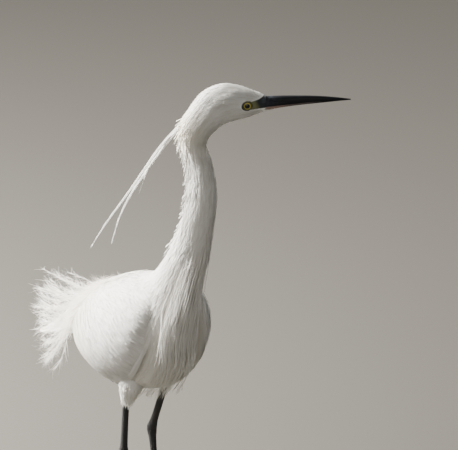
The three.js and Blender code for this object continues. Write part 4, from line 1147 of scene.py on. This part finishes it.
# Legs, feet and claws
limbLook = {"shank": 3.4, "tarsus": 3.2, "toe": 2.6,
            "black": ((0.012, 0.012, 0.013, 1), (0.03, 0.03, 0.031, 1)),
            "yellow": ((0.36, 0.22, 0.006, 1), (0.30, 0.20, 0.012, 1)), "sock": (9, 15),
            "claw": ((0.01, 0.009, 0.008, 1), (0.04, 0.034, 0.028, 1))}
toes = {"inner": (-34, 46), "middle": (2, 58), "outer": (36, 48), "hind": (190, 30)}


def limb(points, radii, sides=28, samples=5, floor=None):  # rings through points, smoothly joined
    points, radii = np.array(points, float), np.array(radii, float)
    steps = (len(points) - 1) * samples
    path = smoothPaths(points[None], steps)[0]
    r = np.interp(np.linspace(0, len(points) - 1, steps + 1), np.arange(len(points)), radii)
    r = np.convolve(np.pad(r, 2, "edge"), [0.1, 0.2, 0.4, 0.2, 0.1], "valid")
    along = unit(np.gradient(path, axis=0))
    across = unit(np.cross(along, (0, 1, 0) if abs(along[0, 2]) > 0.7 else (0, 0, 1)))
    level = np.cross(across, along)
    a = circle(sides)[None, :, None]
    rings = path[:, None] + (across[:, None] * np.cos(a) + level[:, None] * np.sin(a)) * r[:, None, None]
    if floor is not None:
        rings[..., 2] = np.maximum(rings[..., 2], floor)
    return rings


def stepFrom(start, end, distance):
    start, end = np.array(start, float), np.array(end, float)
    return start + (end - start) * distance / np.linalg.norm(end - start)


def limbFinish():
    f = Finish("leg and toe skin", {"Specular IOR Level": 0.3})
    _, _, z = f.split(f.place())
    cloud = f.noise(f.place(), 160.0)
    cells = f.cells(f.place(), 900.0)
    black = f.mix(cloud, *limbLook["black"])
    yellow = f.mix(cloud, *limbLook["yellow"])
    above = (z * 1000 + cloud * 6 - 3).step(*limbLook["sock"])
    f.paint({"Base Color": f.mix(above, yellow, black), "Roughness": 0.42 + cloud * 0.15})
    f.bump(cells + cloud * 0.3, 0.4, 0.0002)
    return f


def clawFinish():
    f = Finish("claw", {"Coat Weight": 0.3})
    grain = f.noise(f.place(), 300.0)
    f.paint({"Base Color": f.mix(grain, *limbLook["claw"]), "Roughness": 0.3 + grain * 0.2})
    return f


def addRings(shape, rings):
    points, blocks, maps = loft(rings)
    shape.add(points, blocks, {"OFBake": maps}, {})


# How far the scutes rise and vary, and for each kind the spacing, half width and half length
scutes = {"rise": 0.34, "variation": 0.14, "columns": 9,
          "front": (4.0, 2.5, 2.1), "toe": (2.7, 2.0, 1.45), "small": (2.15, 1.12, 1.2)}
plates = {"co": [], "aim": [], "out": [], "size": []}


def addPlates(rings, spacing, wide, long, columns=1, low=0.0, high=0.0):  # rows of plates over a limb's rings
    centre, sides = rings.mean(1), rings.shape[1]
    run = np.append(0, np.cumsum(np.linalg.norm(np.diff(centre, axis=0), axis=1)))
    rows = int(run[-1] / spacing)
    at = np.interp((np.arange(rows) + 0.5) / rows * run[-1], run, np.arange(len(run)))
    i = np.minimum(at.astype(int), len(run) - 2)
    part = (at - i)[:, None, None]
    ring = rings[i] * (1 - part) + rings[i + 1] * part
    share = low + (high - low) * (np.arange(columns) + 0.25 + 0.5 * (np.arange(rows) % 2)[:, None]) / columns
    j = np.floor(share * sides).astype(int)
    part = (share * sides - j)[..., None]
    row = np.arange(rows)[:, None]
    point = ring[row, j % sides] * (1 - part) + ring[row, (j + 1) % sides] * part
    away = point - ring.mean(1)[:, None]
    girth = np.linalg.norm(away, axis=-1, keepdims=True) / np.linalg.norm(rings[0, 0] - centre[0])
    size = np.concatenate([wide * girth, np.full_like(girth, long), np.ones_like(girth)], -1)
    aim = np.broadcast_to(unit(centre[i + 1] - centre[i])[:, None], point.shape)
    for key, value in (("co", point), ("aim", aim), ("out", unit(away)), ("size", size)):
        plates[key].append(value.reshape(-1, 3))


def scuteTree(material):
    tree = bpy.data.node_groups.new("scutes", "GeometryNodeTree")
    for name, kind in (("Roots", "Geometry"), ("Plate Rise", "Float"), ("Variation", "Float")):
        tree.interface.new_socket(name, in_out="INPUT", socket_type="NodeSocket" + kind)
    tree.interface.new_socket("Scutes", in_out="OUTPUT", socket_type="NodeSocketGeometry")

    def add(kind, settings=None, values=None):
        node = tree.nodes.new(kind)
        for key, value in (settings or {}).items():
            setattr(node, key, value)
        for key, value in (values or {}).items():
            if isinstance(value, bpy.types.NodeSocket):
                tree.links.new(value, node.inputs[key])
            else:
                node.inputs[key].default_value = value
        return node

    def named(name):
        node = add("GeometryNodeInputNamedAttribute", {"data_type": "FLOAT_VECTOR"}, {"Name": name})
        return node.outputs["Attribute"]

    given = add("NodeGroupInput").outputs
    plate = add("GeometryNodeMeshUVSphere", None, {"Segments": 8, "Rings": 5, "Radius": 1.0})
    upright = add("FunctionNodeAlignRotationToVector", {"axis": "Z"}, {"Vector": named("out")})
    aimed = add("FunctionNodeAlignRotationToVector", {"axis": "Y", "pivot_axis": "Z"},
                {"Rotation": upright.outputs[0], "Vector": named("aim")})
    low = add("ShaderNodeMath", {"operation": "SUBTRACT"}, {0: 1.0, 1: given["Variation"]})
    high = add("ShaderNodeMath", {"operation": "ADD"}, {0: 1.0, 1: given["Variation"]})
    chance = add("FunctionNodeRandomValue", {"data_type": "FLOAT"},
                 {2: low.outputs[0], 3: high.outputs[0], "Seed": 4})
    rise = add("ShaderNodeCombineXYZ", None, {"X": 1.0, "Y": 1.0, "Z": given["Plate Rise"]})
    size = add("ShaderNodeVectorMath", {"operation": "MULTIPLY"}, {0: named("size"), 1: rise.outputs[0]})
    scale = add("ShaderNodeVectorMath", {"operation": "SCALE"},
                {0: size.outputs[0], "Scale": chance.outputs[1]})
    placed = add("GeometryNodeInstanceOnPoints", None,
                 {"Points": given["Roots"], "Instance": plate.outputs["Mesh"],
                  "Rotation": aimed.outputs[0], "Scale": scale.outputs[0]})
    solid = add("GeometryNodeRealizeInstances", None, {"Geometry": placed.outputs[0]})
    soft = add("GeometryNodeSetShadeSmooth", None, {"Geometry": solid.outputs[0]})
    painted = add("GeometryNodeSetMaterial", None, {"Geometry": soft.outputs[0], "Material": material})
    add("NodeGroupOutput", None, {"Scutes": painted.outputs[0]})
    return tree


def buildScutes(finish):
    mesh = bpy.data.meshes.new("scute roots")
    points = (np.concatenate(plates["co"]) + shift) / 1000
    mesh.vertices.add(len(points))
    mesh.vertices.foreach_set("co", points.ravel())
    for key in ("aim", "out", "size"):
        value = np.concatenate(plates[key]) / (1000 if key == "size" else 1)
        mesh.attributes.new(key, "FLOAT_VECTOR", "POINT").data.foreach_set("vector", value.ravel())
    made = bpy.data.objects.new("scutes", mesh)
    bpy.context.scene.collection.objects.link(made)
    tree = scuteTree(finish.material)
    modifier = made.modifiers.new("scutes", "NODES")
    modifier.node_group = tree
    for name, value in (("Plate Rise", scutes["rise"]), ("Variation", scutes["variation"])):
        modifier[tree.interface.items_tree[name].identifier] = value
    bpy.context.view_layer.update()
    plain = bpy.data.meshes.new_from_object(made.evaluated_get(bpy.context.evaluated_depsgraph_get()))
    made.modifiers.remove(modifier)
    made.data = plain
    return settle(made, "legs")


def buildLeg(name, leg, skin, horn):
    side = leg["side"]
    ankle, foot, end = (np.array(leg[key], float) for key in ("ankle", "foot", "thighEnd"))
    bend = unit(unit(ankle - end) + unit(foot - ankle))
    shank, tarsus = limbLook["shank"], limbLook["tarsus"]
    small, columns = scutes["small"], scutes["columns"]
    shape = Shape()
    path = [stepFrom(end, leg["thighTop"], 9), end, (end + ankle) / 2, stepFrom(ankle, end, 12),
            stepFrom(ankle, end, 5), ankle - bend * 0.15]
    rings = limb(path, [shank, shank, shank, shank + 0.2, shank + 1.3, shank + 1.7])
    addRings(shape, rings)
    addPlates(rings[4:], *small, columns, 0, 1)
    shape.piece("shank" + name, skin, "legs", "shank_" + name.lower())
    shape = Shape()
    footTop = stepFrom(foot, ankle, 12)
    path = [ankle + bend * 0.15, stepFrom(ankle, foot, 5), stepFrom(ankle, foot, 12),
            ankle + (foot - ankle) * 0.3, ankle + (foot - ankle) * 0.6, stepFrom(footTop, ankle, 0.3)]
    rings = limb(path, [shank + 1.7, tarsus + 1.5, tarsus + 0.4, tarsus - 0.1, tarsus - 0.2, tarsus])
    addRings(shape, rings)
    addPlates(rings[8:], *scutes["front"])
    addPlates(rings[:8], *small, columns, 0, 1)
    addPlates(rings[8:], *small, columns - 2, 0.13, 0.87)
    shape.piece("tarsus" + name, skin, "legs", "tarsus_" + name.lower())
    shape = Shape()
    path = [footTop, stepFrom(foot, ankle, 7), stepFrom(foot, ankle, 3.4), stepFrom(foot, ankle, 0.8)]
    addRings(shape, limb(path, [tarsus, tarsus + 0.6, tarsus + 1.4, tarsus + 0.6], floor=0))

    def overFloor(angle, run, z):  # points above the floor, that way from the foot
        a = math.radians(angle * side)
        return np.stack([foot[0] + math.cos(a) * run, foot[1] + math.sin(a) * run, z], -1)
    for angle, length in toes.values():
        joints = round(length / 15)
        share = np.linspace(0, 1, joints * 4 + 1)
        r = limbLook["toe"] * (1.05 - 0.33 * share) + 0.28 * np.cos(share * joints * math.tau)
        z = 3.4 + (r * 0.82 - 3.4) * np.minimum(share * 3, 1)
        rings = limb(overFloor(angle, share * length, z), r, 20, 2, 0)
        addRings(shape, rings)
        addPlates(rings[3:], *scutes["toe"], 1, 0.25, 0.25)
    shape.piece("foot" + name, skin, "feet", "foot_" + name.lower())
    for toe, (angle, length) in toes.items():
        share = np.linspace(0, 1, 9)
        run = length + 0.43 + share * (12 if toe == "hind" else 9)
        z = 1.55 + 1.5 * np.sin(share * math.pi * 0.85) - 1.2 * share ** 2
        shape = Shape()
        addRings(shape, limb(overFloor(angle, run, z), 1.5 - 1.15 * share, 16, 2, 0))
        shape.piece("claw" + name + toe.capitalize(), horn, "claws", "claw_" + name.lower() + "_" + toe)


limbSkin, clawHorn = limbFinish(), clawFinish()
buildLeg("Right", legs["right"], limbSkin, clawHorn)
buildLeg("Left", legs["left"], limbSkin, clawHorn)
buildScutes(limbSkin)
print("legs and feet built")
